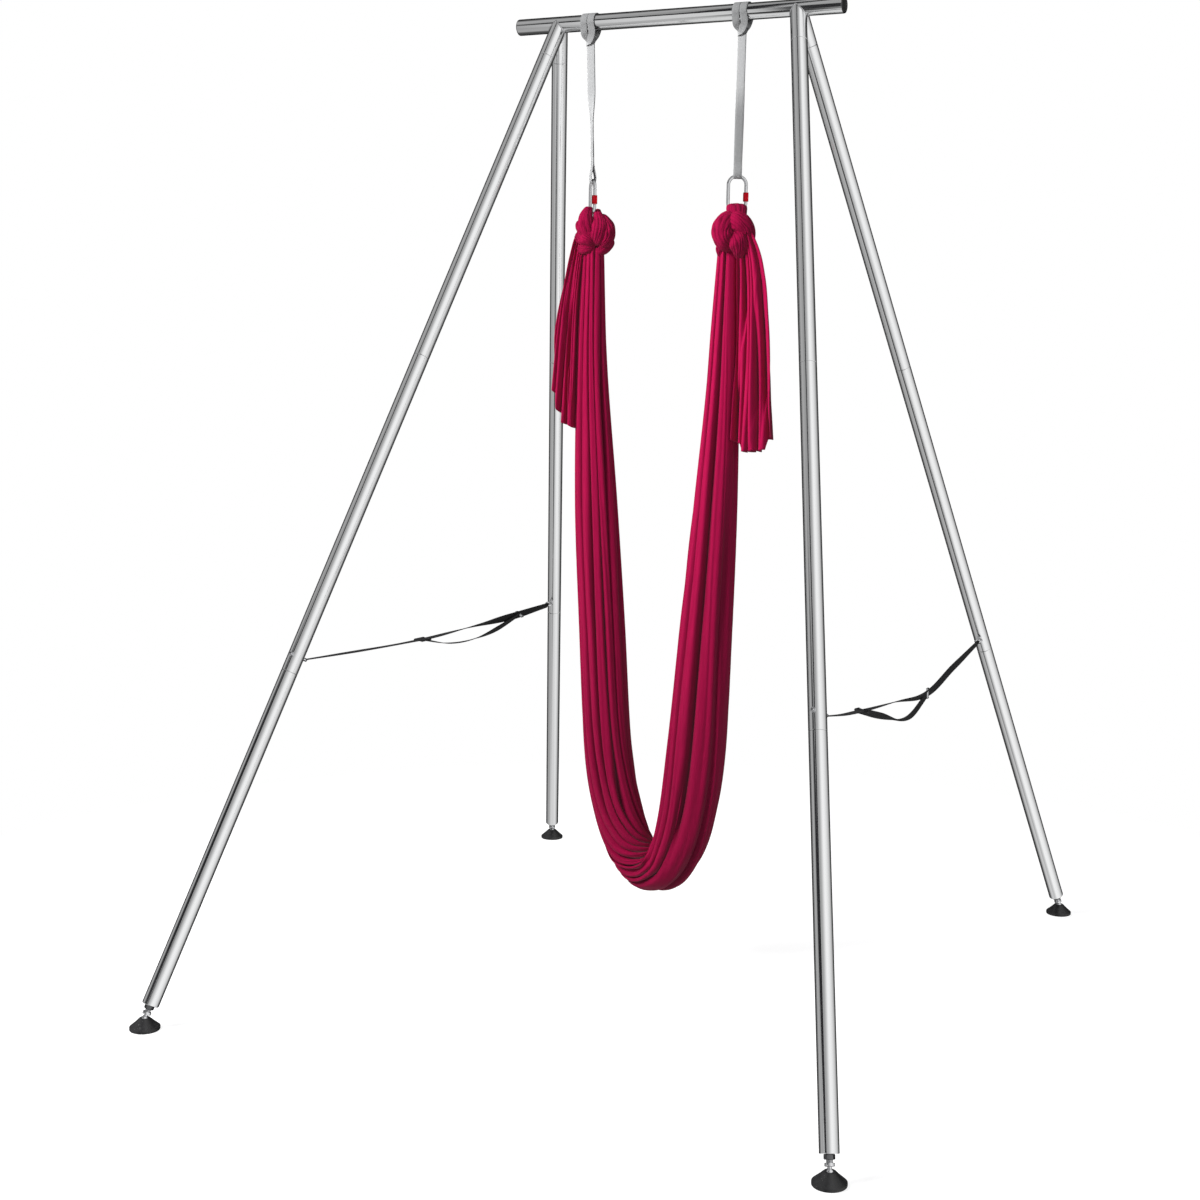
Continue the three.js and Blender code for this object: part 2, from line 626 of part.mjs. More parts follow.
function knot(plan, inward) {
  const rings = knotShares.map(([across, height, width, depth], i) => ovalRing(
    new THREE.Vector3(plan.pivotX + inward * across * knotHalfWidth, 0,
      knotFoot + height * (footRodHeight - knotFoot)),
    xAxis, yAxis, width * knotHalfWidth, depth * knotHalfDepth, knotFolds * 3,
    folds(knotFolds, i === 0 ? 0 : 0.14, i * 0.8)));
  const hookPlace = carabinerMatrix(plan);
  const bend = rodRadius + clothBulge / 2;
  const loopArc = Array.from({ length: 9 }, (_, i) => {
    const angle = (Math.PI * i) / 8;
    return new THREE.Vector3(0, bend * Math.cos(angle), bend * Math.sin(angle) - hookHeight);
  });
  const dive = new THREE.Vector3(0, 0, -(rodRadius + clothBulge) * 1.6);
  const loopWay = [loopArc[0].clone().add(dive), ...loopArc, loopArc[8].clone().add(dive)];
  const loopRings = loopWay.map((point, i) => {
    const ahead = loopWay[Math.min(i + 1, loopWay.length - 1)];
    const behind = loopWay[Math.max(i - 1, 0)];
    const outward = ahead.clone().sub(behind).normalize().cross(xAxis);
    return ovalRing(point, xAxis, outward, clothReach, clothBulge / 2, smallSides);
  });
  const reach = 2 * barLength;
  const below = new THREE.BoxGeometry(reach, reach, reach).translate(0, 0, knotFoot - reach / 2);
  return solid(loft(rings)).add(solid(placed(loft(loopRings), hookPlace)))
    .subtract(solid(placed(hookRod(slipGap), hookPlace)))
    .subtract(solid(below));
}
addPiece(rig, 'hammock_knot_left', surface(knot(leftSling, 1)), crimsonCloth);
addPiece(rig, 'hammock_knot_right', surface(knot(rightSling, -1)), crimsonCloth);

function tail(plan, inward, size) {
  const tailTop = knotFoot - slipGap;
  const rows = 8;
  const foldCount = 5;
  const rings = Array.from({ length: rows + 1 }, (_, i) => {
    const share = i / rows;
    const spread = share ** 1.3;
    const half = tailTopHalf + (size.hemHalf - tailTopHalf) * spread;
    const deep = tailTopHalf + (tailHalfDepth - tailTopHalf) * spread;
    const middle = new THREE.Vector3(
      plan.pivotX - inward * (tailTopX + (size.hemX - tailTopX) * share), 0,
      tailTop - size.length * share);
    const ring = ovalRing(middle, xAxis, yAxis, half, deep, foldCount * 4, folds(foldCount, 0.3, share * 2));
    for (const point of ring) {
      const outward = (-inward * (point.x - middle.x)) / half;
      point.z += (share * outward * size.hemStep) / 2;
    }
    return ring;
  }).reverse();
  return loft(rings);
}
addPiece(rig, 'hammock_tail_left', tail(leftSling, 1, leftTail), crimsonCloth);
addPiece(rig, 'hammock_tail_right', tail(rightSling, -1, rightTail), crimsonCloth);

export default rig;
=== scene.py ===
"""The looks of an aerial rig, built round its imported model. Metres, +Z up, the crossbar along X."""
import json
import math

import bpy
import numpy as np
from mathutils import Matrix, Vector


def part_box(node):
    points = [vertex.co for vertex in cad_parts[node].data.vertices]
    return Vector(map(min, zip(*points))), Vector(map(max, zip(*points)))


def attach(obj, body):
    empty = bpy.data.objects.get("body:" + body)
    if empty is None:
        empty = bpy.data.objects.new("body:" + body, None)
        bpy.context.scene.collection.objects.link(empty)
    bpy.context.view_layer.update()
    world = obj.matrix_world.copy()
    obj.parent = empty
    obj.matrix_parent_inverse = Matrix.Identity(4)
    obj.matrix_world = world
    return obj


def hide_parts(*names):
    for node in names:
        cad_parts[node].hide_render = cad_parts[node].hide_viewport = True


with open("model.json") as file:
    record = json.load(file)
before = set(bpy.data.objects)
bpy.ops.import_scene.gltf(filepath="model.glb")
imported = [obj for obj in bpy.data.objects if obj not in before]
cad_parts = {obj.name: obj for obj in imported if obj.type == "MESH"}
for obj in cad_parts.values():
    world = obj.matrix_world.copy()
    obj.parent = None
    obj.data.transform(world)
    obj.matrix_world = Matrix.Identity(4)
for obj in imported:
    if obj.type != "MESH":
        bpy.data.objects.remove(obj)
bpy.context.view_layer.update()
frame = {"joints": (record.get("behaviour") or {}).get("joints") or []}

scene = bpy.context.scene
scene.view_settings.view_transform = "Standard"
joints = {joint["name"]: joint for joint in frame["joints"]}

X_AXIS = Vector((1, 0, 0))
Y_AXIS = Vector((0, 1, 0))
Z_AXIS = Vector((0, 0, 1))
FULL_TURN = 2 * math.pi
QUARTER_TURN = math.pi / 2

# Camera and lights

CAMERA_PLACE = (2.2767, -4.8865, 1.8568)
CAMERA_RIGHT = Vector((0.9028, 0.4296, 0.0222))
CAMERA_UP = Vector((-0.0748, 0.1059, 0.9916))
CAMERA_BACK = Vector((0.4236, -0.8968, 0.1278))
CAMERA_LENS = 52.97
CAMERA_SHIFT_X = -0.0439
# Each lamp's place, the height on the rig's middle line that it aims at, its size and its power
LAMPS = {
    "key": ((-3.3, -3.7, 4.4), 1.4, 2.8, 640),
    "fill": ((4.5, -3.0, 3.0), 1.2, 3.0, 30),
    "back": ((-1.6, 5.0, 3.4), 1.3, 3.0, 140),
}


def columns_matrix(across, deep, up, place):
    matrix = Matrix((across, deep, up)).transposed().to_4x4()
    matrix.translation = place
    return matrix


def add_object(name, data):
    made = bpy.data.objects.new(name, data)
    scene.collection.objects.link(made)
    return made


def make_camera():
    camera = add_object("camera", bpy.data.cameras.new("camera"))
    camera.data.lens = CAMERA_LENS
    camera.data.shift_x = CAMERA_SHIFT_X
    camera.matrix_world = columns_matrix(CAMERA_RIGHT, CAMERA_UP, CAMERA_BACK, CAMERA_PLACE)
    scene.camera = camera


def make_lamp(name, place, aim, size, power):
    light = bpy.data.lights.new(name, "AREA")
    light.shape = "DISK"
    light.size = size
    light.energy = power
    lamp = add_object(name, light)
    lamp.location = place
    lamp.rotation_euler = (Vector(place) - Z_AXIS * aim).to_track_quat("Z", "Y").to_euler()
    lamp.visible_glossy = False
    lamp.visible_camera = False


# Shader nodes


def feed(tree, socket, value):
    """Sets a socket to a number or a colour, or links another node's output to it."""
    if isinstance(value, bpy.types.NodeSocket):
        tree.links.new(value, socket)
    else:
        socket.default_value = value


def add_node(tree, kind, inputs=None, **settings):
    made = tree.nodes.new("ShaderNode" + kind)
    for key, value in settings.items():
        setattr(made, key, value)
    for key, value in (inputs or {}).items():
        feed(tree, made.inputs[key], value)
    return made


def maths(tree, operation, *values):
    return add_node(tree, "Math", dict(enumerate(values)), operation=operation).outputs[0]


def blend_colours(tree, factor, a, b):
    return add_node(tree, "Mix", {0: factor, 6: a, 7: b}, data_type="RGBA").outputs[2]


def between(tree, value, low, high, start, end):
    """Goes from start to end while a value goes from low to high."""
    return add_node(tree, "MapRange", {"Value": value, "From Min": low, "From Max": high, "To Min": start,
                                       "To Max": end}).outputs[0]


def add_ramp(tree, factor, stops):
    """A colour ramp of greys through (position, brightness) stops."""
    ramp = add_node(tree, "ValToRGB", {"Fac": factor})
    elements = ramp.color_ramp.elements
    while len(elements) < len(stops):
        elements.new(0.5)
    for element, (position, grey) in zip(elements, stops):
        element.position = position
        element.color = (grey, grey, grey, 1)
    return ramp.outputs["Color"]


def seen_directly(tree):
    """1 for the rays that show a surface to the camera, and 0 for those that light or mirror it."""
    path = add_node(tree, "LightPath").outputs
    return maths(tree, "MAXIMUM", path["Is Camera Ray"], path["Is Transmission Ray"])


def coordinates(tree, source, scale=(1, 1, 1)):
    coords = add_node(tree, "TexCoord").outputs[source]
    return add_node(tree, "Mapping", {"Vector": coords, "Scale": scale}).outputs[0]


def noise(tree, coords, scale, detail):
    return add_node(tree, "TexNoise", {"Vector": coords, "Scale": scale, "Detail": detail}).outputs[0]


def bump(tree, surface, height, strength, distance):
    made = add_node(tree, "Bump", {"Height": height, "Strength": strength, "Distance": distance})
    feed(tree, surface.inputs["Normal"], made.outputs[0])


def start_material(name, colour, roughness, more=None):
    material = bpy.data.materials.new(name)
    material.use_nodes = True
    surface = material.node_tree.nodes["Principled BSDF"]
    for socket, value in {"Base Color": (*colour, 1), "Roughness": roughness, **(more or {})}.items():
        surface.inputs[socket].default_value = value
    return material, material.node_tree, surface


# World and floor


def by_azimuth(*stops):
    """Ramp stops from (azimuth in degrees from -180 to 180, brightness)."""
    return [((azimuth + 180) / 360, grey) for azimuth, grey in stops]


# What polished steel sees round the studio, by azimuth: under OPEN_BAND, above it, and above the level
# flag. Behind the object the room is dark, which draws a dark line along each side of a tube.
LOW_WALL = by_azimuth(
    (-180, 0.22), (-170, 0.44), (-150, 0.40), (-122, 0.48), (-113, 0.40), (-109, 0.03), (-97, 0.03),
    (-92, 0.28), (-80, 0.52), (-62, 0.78), (-45, 1.0), (-8, 0.96), (18, 0.78), (40, 0.55), (54, 0.22),
    (66, 0.08), (158, 0.08), (170, 0.13), (180, 0.22))
OPEN_WALL = by_azimuth(
    (-180, 0.22), (-168, 0.46), (-140, 0.36), (-125, 0.66), (-108, 0.70), (-97, 0.40), (-92, 0.36),
    (-80, 0.44), (-64, 0.62), (-46, 0.9), (-30, 1.0), (-6, 0.92), (18, 0.72), (36, 0.55), (52, 0.2),
    (64, 0.08), (158, 0.08), (170, 0.13), (180, 0.22))
GREY_WALL = by_azimuth(
    (-180, 0.30), (-168, 0.46), (-140, 0.38), (-118, 0.30), (-100, 0.30), (52, 0.30), (64, 0.08),
    (150, 0.08), (168, 0.16), (180, 0.30))
OPEN_BAND = [(0.0, 0), (0.235, 0), (0.265, 1), (1.0, 1)]
FLOOR_BOUNCE = [(0.0, 1), (0.06, 1), (0.12, 0), (1.0, 0)]
# A dark flag stands upright at FLAG_AZIMUTH, turns level at FLAG_HEIGHT, and ends at FLAG_END. A second
# one stands upright below that height, at SIDE_FLAG.
FLAG_AZIMUTH = -108
FLAG_HEIGHT = 19
FLAG_REACH = 40
FLAG_DARK = [(0.0, 0), (0.405, 0), (0.435, 1), (0.585, 1), (0.615, 0), (1.0, 0)]
FLAG_GREY = [(0.0, 0), (0.55, 0), (0.60, 1), (1.0, 1)]
FLAG_END = (-150, -136)
SIDE_FLAG = by_azimuth((-180, 0), (-102, 0), (-98, 1), (-90, 1), (-86, 0), (180, 0))
SIDE_FLAG_TOP = (12, 18)
FLAG_COLOUR = (0.02, 0.02, 0.022, 1)
BOUNCE_COLOUR = (0.72, 0.72, 0.72, 1)
AMBIENT = (0.20, 0.20, 0.21, 1)
WHITE = (1, 1, 1, 1)
FLOOR_HALF = 14.0
FLOOR_COLOUR = (0.3, 0.3, 0.3)
FLOOR_GLOW = 0.83
# The floor fades to white between these distances from its middle
FLOOR_FADE = (1.9, 2.9)


def make_world():
    world = bpy.data.worlds.new("studio")
    scene.world = world
    world.use_nodes = True
    tree = world.node_tree
    tree.nodes.clear()
    axes = add_node(tree, "SeparateXYZ", {0: add_node(tree, "TexCoord").outputs["Generated"]}).outputs
    degrees = 180 / math.pi
    azimuth = maths(tree, "MULTIPLY", maths(tree, "ARCTAN2", axes["Y"], axes["X"]), degrees)
    height = maths(tree, "MULTIPLY", maths(tree, "ARCSINE", axes["Z"]), degrees)
    turn = maths(tree, "MULTIPLY_ADD", azimuth, 1 / 360, 0.5)
    rise = maths(tree, "MULTIPLY_ADD", axes["Z"], 0.5, 0.5)
    # Azimuths from 90 to 180 count as the far end of the grey part
    unrolled = maths(tree, "MULTIPLY_ADD", maths(tree, "GREATER_THAN", azimuth, 90), -360, azimuth)
    past = maths(tree, "MINIMUM", maths(tree, "SUBTRACT", FLAG_AZIMUTH, unrolled),
                 maths(tree, "SUBTRACT", height, FLAG_HEIGHT))
    inside = maths(tree, "MULTIPLY_ADD", past, 1 / (2 * FLAG_REACH), 0.5)
    room = blend_colours(tree, add_ramp(tree, inside, FLAG_GREY), add_ramp(tree, turn, OPEN_WALL),
                         add_ramp(tree, turn, GREY_WALL))
    for flag, part in ((add_ramp(tree, turn, SIDE_FLAG), between(tree, height, *SIDE_FLAG_TOP, 1, 0)),
                       (add_ramp(tree, inside, FLAG_DARK), between(tree, unrolled, *FLAG_END, 0, 1))):
        room = blend_colours(tree, maths(tree, "MULTIPLY", flag, part), room, FLAG_COLOUR)
    room = blend_colours(tree, add_ramp(tree, rise, OPEN_BAND), add_ramp(tree, turn, LOW_WALL), room)
    room = blend_colours(tree, add_ramp(tree, rise, FLOOR_BOUNCE), room, BOUNCE_COLOUR)
    mirrored = add_node(tree, "LightPath").outputs["Is Glossy Ray"]
    lit = blend_colours(tree, mirrored, AMBIENT, room)
    background = add_node(tree, "Background", {"Color": blend_colours(tree, seen_directly(tree), lit, WHITE)})
    tree.links.new(background.outputs[0], add_node(tree, "OutputWorld").inputs[0])


def make_floor():
    """A pale floor that the camera sees as white. It keeps the object's shadow."""
    material, tree, surface = start_material("pale_floor", FLOOR_COLOUR, 0.9)
    glow = add_node(tree, "Emission", {"Color": WHITE, "Strength": FLOOR_GLOW})
    lifted = add_node(tree, "AddShader", {0: surface.outputs[0], 1: glow.outputs[0]})
    place = add_node(tree, "TexCoord").outputs["Object"]
    reach = add_node(tree, "VectorMath", {0: place}, operation="LENGTH").outputs["Value"]
    white = add_node(tree, "Emission", {"Color": WHITE, "Strength": 1.0})
    faded = add_node(tree, "MixShader", {0: between(tree, reach, *FLOOR_FADE, 0, 1), 1: lifted.outputs[0],
                                         2: white.outputs[0]})
    mixed = add_node(tree, "MixShader", {0: seen_directly(tree), 1: surface.outputs[0], 2: faded.outputs[0]})
    tree.links.new(mixed.outputs[0], tree.nodes["Material Output"].inputs[0])
    mesh = bpy.data.meshes.new("floor")
    corners = [(x * FLOOR_HALF, y * FLOOR_HALF, 0) for x, y in ((-1, -1), (1, -1), (1, 1), (-1, 1))]
    mesh.from_pydata(corners, [], [(0, 1, 2, 3)])
    mesh.materials.append(material)
    floor = add_object("floor", mesh)
    floor.visible_glossy = False


make_camera()
make_world()
for lamp_name, lamp_plan in LAMPS.items():
    make_lamp(lamp_name, *lamp_plan)
make_floor()

# Materials


def steel(name, colour, roughness, along_scale, edge=0.04):
    """Polished metal: fine grain drawn out along the piece's own Z, and a soft wear in its shine."""
    material, tree, surface = start_material(name, colour, roughness, {
        "Metallic": 1.0, "Specular Tint": (edge, edge, edge, 1)})
    grain = noise(tree, coordinates(tree, "Object", (1, 1, along_scale)), 900, 2)
    wear = noise(tree, coordinates(tree, "Object", (1, 1, 0.4)), 14, 4)
    feed(tree, surface.inputs["Roughness"], between(tree, wear, 0, 1, roughness * 0.75, roughness * 1.3))
    bump(tree, surface, grain, 0.05, 0.0002)
    return material


def plastic(name, dark, light, roughness):
    """Moulded plastic with a fine grain and faint patches."""
    material, tree, surface = start_material(name, dark, roughness)
    coords = coordinates(tree, "Object")
    patch = noise(tree, coords, 60, 4)
    feed(tree, surface.inputs["Base Color"], blend_colours(tree, patch, (*dark, 1), (*light, 1)))
    feed(tree, surface.inputs["Roughness"], between(tree, patch, 0, 1, roughness * 0.85, roughness * 1.15))
    bump(tree, surface, noise(tree, coords, 1400, 3), 0.25, 0.0003)
    return material


def webbing(name, dark, light, roughness, sheen=0.15, darker_heights=None):
    """Woven webbing. Its UVs are metres across and along the band. It can grow darker between two heights,
    and stays darker above them."""
    material, tree, surface = start_material(name, light, roughness, {
        "Sheen Weight": sheen, "Sheen Roughness": 0.4, "Specular IOR Level": 0.3})
    coords = coordinates(tree, "UV")
    ribs = add_node(tree, "TexWave", {"Vector": coords, "Scale": 120, "Distortion": 0.6, "Detail": 1,
                                      "Detail Scale": 6}, bands_direction="X").outputs["Fac"]
    picks = add_node(tree, "TexWave", {"Vector": coords, "Scale": 210, "Distortion": 0.4},
                     bands_direction="Y").outputs["Fac"]
    weave = maths(tree, "ADD", maths(tree, "MULTIPLY", ribs, picks), noise(tree, coords, 320, 4))
    factor = weave
    if darker_heights is not None:
        place = add_node(tree, "TexCoord").outputs["Object"]
        height = add_node(tree, "SeparateXYZ", {0: place}).outputs["Z"]
        factor = maths(tree, "MULTIPLY", weave, between(tree, height, *darker_heights, 1, 0.35))
    feed(tree, surface.inputs["Base Color"], blend_colours(tree, factor, (*dark, 1), (*light, 1)))
    bump(tree, surface, weave, 0.5, 0.0005)
    return material


def tricot(name, deep, light):
    """Thin knitted nylon: a soft sheen, faint ladders along the cloth and painted shade in the creases."""
    material, tree, surface = start_material(name, light, 0.52, {
        "Sheen Weight": 0.07, "Sheen Roughness": 0.3, "Sheen Tint": (1.0, 0.12, 0.34, 1),
        "Specular IOR Level": 0.3, "Specular Tint": (1.0, 0.4, 0.6, 1)})
    streak = noise(tree, coordinates(tree, "UV", (1, 0.06, 1)), 260, 3)
    # The crease attribute blends the cloth towards the deep colour: painted shade in the folds
    crease = add_node(tree, "Attribute", attribute_name="crease").outputs["Fac"]
    shade = maths(tree, "MULTIPLY", maths(tree, "SUBTRACT", 1.0, crease),
                  maths(tree, "MULTIPLY_ADD", streak, 0.7, 0.5))
    colour = blend_colours(tree, maths(tree, "ADD", shade, 0.06), (*deep, 1), (*light, 1))
    feed(tree, surface.inputs["Base Color"], colour)
    feed(tree, surface.inputs["Roughness"], between(tree, streak, 0, 1, 0.42, 0.6))
    bump(tree, surface, noise(tree, coordinates(tree, "UV"), 900, 2), 0.12, 0.0003)
    return material


TUBE = steel("tube_steel", (0.87, 0.875, 0.88), 0.10, 0.02)
BRIGHT = steel("bright_steel", (0.78, 0.785, 0.8), 0.2, 1.0, 0.3)
BEAD = steel("weld_bead", (0.7, 0.7, 0.71), 0.28, 1.0, 0.2)
DARK_STEEL = steel("dark_steel", (0.16, 0.16, 0.165), 0.3, 1.0, 0.2)
BLACK_PLASTIC = plastic("black_plastic", (0.009, 0.009, 0.0095), (0.024, 0.024, 0.025), 0.27)
BLACK_WEB = webbing("black_webbing", (0.002, 0.002, 0.0022), (0.010, 0.010, 0.011), 0.8, 0.03)
GREY_WEB = webbing("grey_webbing", (0.13, 0.131, 0.132), (0.43, 0.434, 0.438), 0.78, 0.05, (2.83, 2.86))
GREY_THREAD = webbing("grey_thread", (0.2, 0.2, 0.205), (0.4, 0.4, 0.41), 0.7)
RED = steel("red_anodised", (0.72, 0.015, 0.03), 0.32, 1.0, 0.5)
CLOTH = tricot("crimson_cloth", (0.045, 0.0003, 0.006), (0.37, 0.0048, 0.056))

# Mesh tools. A part is a (points, faces) pair.


def add_piece(name, part, material, stands_for=None, matrix=None, body="frame", slot=None, sharp=38,
              uvs=None):
    """Puts a part into the scene. Its slot has its material's name. The slot argument is not used."""
    points, faces = part
    mesh = bpy.data.meshes.new(name)
    mesh.from_pydata([tuple(point) for point in points], [], faces)
    mesh.update()
    mesh.shade_smooth()
    mesh.set_sharp_from_angle(angle=math.radians(sharp))
    mesh.materials.append(material)
    if uvs is not None:
        layer = mesh.uv_layers.new(name="metres")
        corners = np.empty(len(mesh.loops), np.int32)
        mesh.loops.foreach_get("vertex_index", corners)
        layer.uv.foreach_set("vector", np.asarray(uvs, np.float32)[corners].ravel())
    piece = add_object(name, mesh)
    if matrix is not None:
        piece.matrix_world = matrix
    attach(piece, body)
    # Blender adds a number to a material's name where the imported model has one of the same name
    if stands_for:
        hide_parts(stands_for)
    return piece


def placed(x, y, z, turn=0.0, axis="X"):
    return Matrix.Translation((x, y, z)) @ Matrix.Rotation(turn, 4, axis)


def moved(part, matrix):
    points, faces = part
    return [tuple(matrix @ Vector(point)) for point in points], faces


def together(*parts):
    points, faces = [], []
    for more_points, more_faces in parts:
        start = len(points)
        points.extend(more_points)
        faces.extend(tuple(index + start for index in face) for face in more_faces)
    return points, faces


def grid_faces(rows, columns, round_across=True, round_along=False):
    faces = []
    for row in range(rows if round_along else rows - 1):
        here = row * columns
        there = (row + 1) % rows * columns
        for column in range(columns if round_across else columns - 1):
            beside = (column + 1) % columns
            faces.append((here + column, here + beside, there + beside, there + column))
    return faces


def capped(rows, columns):
    """Faces of a tube of rings, with a flat face over each end."""
    last = (rows - 1) * columns
    return [*grid_faces(rows, columns), tuple(reversed(range(columns))), tuple(range(last, last + columns))]


def ring(count, place):
    """place(cosine, sine) for each of a count of angles round a turn."""
    angles = [FULL_TURN * i / count for i in range(count)]
    return np.array([place(math.cos(angle), math.sin(angle)) for angle in angles])


def arc(centre_x, centre_y, radius, start, end, steps):
    angles = [start + (end - start) * i / steps for i in range(steps + 1)]
    return [(centre_x + radius * math.cos(angle), centre_y + radius * math.sin(angle)) for angle in angles]


def rounded(corners, radius, steps=3, loop=False):
    """An outline whose corners are turned into short arcs. The ends of an open one stay."""
    points = []
    count = len(corners)
    for i, corner in enumerate(corners):
        if not loop and i in (0, count - 1):
            points.append(tuple(corner))
            continue
        here = Vector(corner)
        before = Vector(corners[i - 1]) - here
        after = Vector(corners[(i + 1) % count]) - here
        reach = min(radius, before.length / 2, after.length / 2)
        start = here + before.normalized() * reach
        end = here + after.normalized() * reach
        for k in range(steps + 1):
            t = k / steps
            points.append(tuple((1 - t) ** 2 * start + 2 * t * (1 - t) * here + t * t * end))
    return points


def lathe(profile, columns, ripple=None, bored=False):
    """A body turned about Z from (radius, height) points: from the lower end to the upper one, or round
    a closed loop where it has a bore. ripple(radius, height, angle) changes a radius."""
    points = []
    for radius, height in profile:
        for column in range(columns):
            angle = FULL_TURN * column / columns
            here = ripple(radius, height, angle) if ripple else radius
            points.append((here * math.cos(angle), here * math.sin(angle), height))
    if bored:
        return points, [face[::-1] for face in grid_faces(len(profile), columns, round_along=True)]
    return points, capped(len(profile), columns)


def spline(knots, values, where):
    """A smooth curve through values at knots, read at where."""
    knots = np.asarray(knots, float)
    values = np.asarray(values, float)
    slopes = np.gradient(values, knots, axis=0)
    index = np.clip(np.searchsorted(knots, where) - 1, 0, len(knots) - 2)
    width = knots[index + 1] - knots[index]
    t = (where - knots[index]) / width
    if values.ndim > 1:
        t, width = t[:, None], width[:, None]
    return ((2 * t**3 - 3 * t**2 + 1) * values[index] + (t**3 - 2 * t**2 + t) * width * slopes[index]
            + (3 * t**2 - 2 * t**3) * values[index + 1] + (t**3 - t**2) * width * slopes[index + 1])


def smooth_step(t):
    return t * t * (3 - 2 * t)


def lengths_along(path):
    return np.concatenate([[0], np.cumsum(np.linalg.norm(np.diff(path, axis=0), axis=1))])


def smooth_path(points, count):
    points = np.array([tuple(point) for point in points], float)
    knots = lengths_along(points)
    return spline(knots, points, np.linspace(0, knots[-1], count))


def unit(vectors):
    return vectors / np.linalg.norm(vectors, axis=-1, keepdims=True)


def tangents(path, loop=False):
    if loop:
        return unit(np.roll(path, -1, axis=0) - np.roll(path, 1, axis=0))
    return unit(np.gradient(path, axis=0))


def swept(path, wide, section, scale=None, loop=False, twist=None):
    """A section of (across, through) points drawn along a path. wide gives its width's way, scale its
    two sizes, and twist its turn, at each point of the path."""
    path = np.asarray(path, float)
    along = tangents(path, loop)
    wide = np.broadcast_to(np.asarray(wide, float), path.shape)
    through = unit(np.cross(along, wide))
    wide = np.cross(through, along)
    if twist is not None:
        turn = np.asarray(twist)[:, None]
        wide, through = (wide * np.cos(turn) + through * np.sin(turn),
                         through * np.cos(turn) - wide * np.sin(turn))
    sizes = np.asarray(section, float)[None] * (1 if scale is None else np.asarray(scale)[:, None])
    rings = path[:, None] + wide[:, None] * sizes[..., :1] + through[:, None] * sizes[..., 1:]
    rows, columns = rings.shape[:2]
    faces = grid_faces(rows, columns, round_along=True) if loop else capped(rows, columns)
    return rings.reshape(-1, 3).tolist(), faces


def rod(path, radius, sides, wide, scale=None, loop=False):
    return swept(path, wide, ring(sides, lambda c, s: (radius * c, radius * s)), scale, loop)


def band(path, wide, half, thickness, widths=None, loop=False, twist=None, gathered=False):
    """A flat band with rounded edges, and its UVs in metres across and along. Where it narrows, a
    gathered one keeps all of its weave."""
    shares = ((1, 1), (0.4, 1.05), (-0.4, 1.05), (-1, 1), (-1, -1), (-0.4, -1.05), (0.4, -1.05), (1, -1))
    section = rounded([(half * x, thickness / 2 * y) for x, y in shares], thickness * 0.4, 2, True)
    ones = np.ones(len(path))
    widths = ones if widths is None else widths
    across = np.outer(ones if gathered else widths, np.array(section)[:, 0])
    uvs = np.stack([across, np.broadcast_to(lengths_along(path)[:, None], across.shape)], axis=-1)
    part = swept(path, wide, section, np.stack([widths, ones], axis=1), loop, twist)
    return part, uvs.reshape(-1, 2)


def add_bands(name, bands, *details, **more):
    """One piece made of several bands."""
    parts, uvs = zip(*bands)
    add_piece(name, together(*parts), *details, uvs=np.concatenate(uvs), **more)


# Steel frame

SIDES = 72
TUBE_RADIUS = 0.02415
TUBE_WALL = 0.0015
BORE = TUBE_RADIUS - TUBE_WALL
SLIP = 0.0003
EDGE = 0.0011
EDGE_INSET = EDGE * 0.8
SPIGOT = BORE - SLIP
SOCKET_REACH = 0.112
SOCKET_SPIGOT = 0.038
LEG_SPIGOT = 0.08
LEG_TUBES = ("upper", "middle", "lower")
FOOT_PLUG = 0.022
PLUG_DEPTH = 0.020
PLUG_FLANGE = 0.003
PLUG_LIP = 0.0012
WELD = 0.0019
WELD_RIPPLES = 40
STEM = 0.008
STEM_REACH = 0.03974
STEM_INSIDE = 0.048
STEM_THREAD = (0.002, 0.0007)
EYE_RISE = 0.05
# Which way along Y each leg leans
LEG_LEANS = {"front_left": -1, "front_right": -1, "rear_left": 1, "rear_right": 1}


class Leg:
    """A leg's own frame: origin on the crossbar's axis, Z up the leg, Y towards the rig's middle."""

    def __init__(self, place):
        self.place = place
        self.lean = LEG_LEANS[place]
        up = -Vector(joints[f"foot_level_{place}"]["axis"]).normalized()
        self.ball = Vector(joints[f"foot_tilt_{place}"]["pos_m"])
        top = self.ball - up * (self.ball.y / up.y)
        inward = Vector((0, -self.lean, 0))
        inward = (inward - up * inward.dot(up)).normalized()
        self.matrix = columns_matrix(inward.cross(up), inward, up, top)
        self.ball_reach = (top - self.ball).length
        self.tubes_reach = self.ball_reach - STEM_REACH
        self.tube_reach = (self.tubes_reach - SOCKET_REACH) / len(LEG_TUBES)
        self.eye_reach = self.tubes_reach - self.tube_reach - EYE_RISE


legs = [Leg(place) for place in LEG_LEANS]
BAR_HEIGHT = legs[0].matrix.translation.z
bar_low, bar_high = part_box("crossbar")
BAR_HALF = (bar_high.x - bar_low.x) / 2
BAR_MATRIX = placed(0, 0, BAR_HEIGHT, QUARTER_TURN, "Y")


def make_crossbar():
    profile = rounded([(BORE, -BAR_HALF), (TUBE_RADIUS, -BAR_HALF), (TUBE_RADIUS, BAR_HALF),
                       (BORE, BAR_HALF)], EDGE / 2, 2, True)
    add_piece("crossbar_tube", lathe(profile, 96, bored=True), TUBE, "crossbar", BAR_MATRIX)


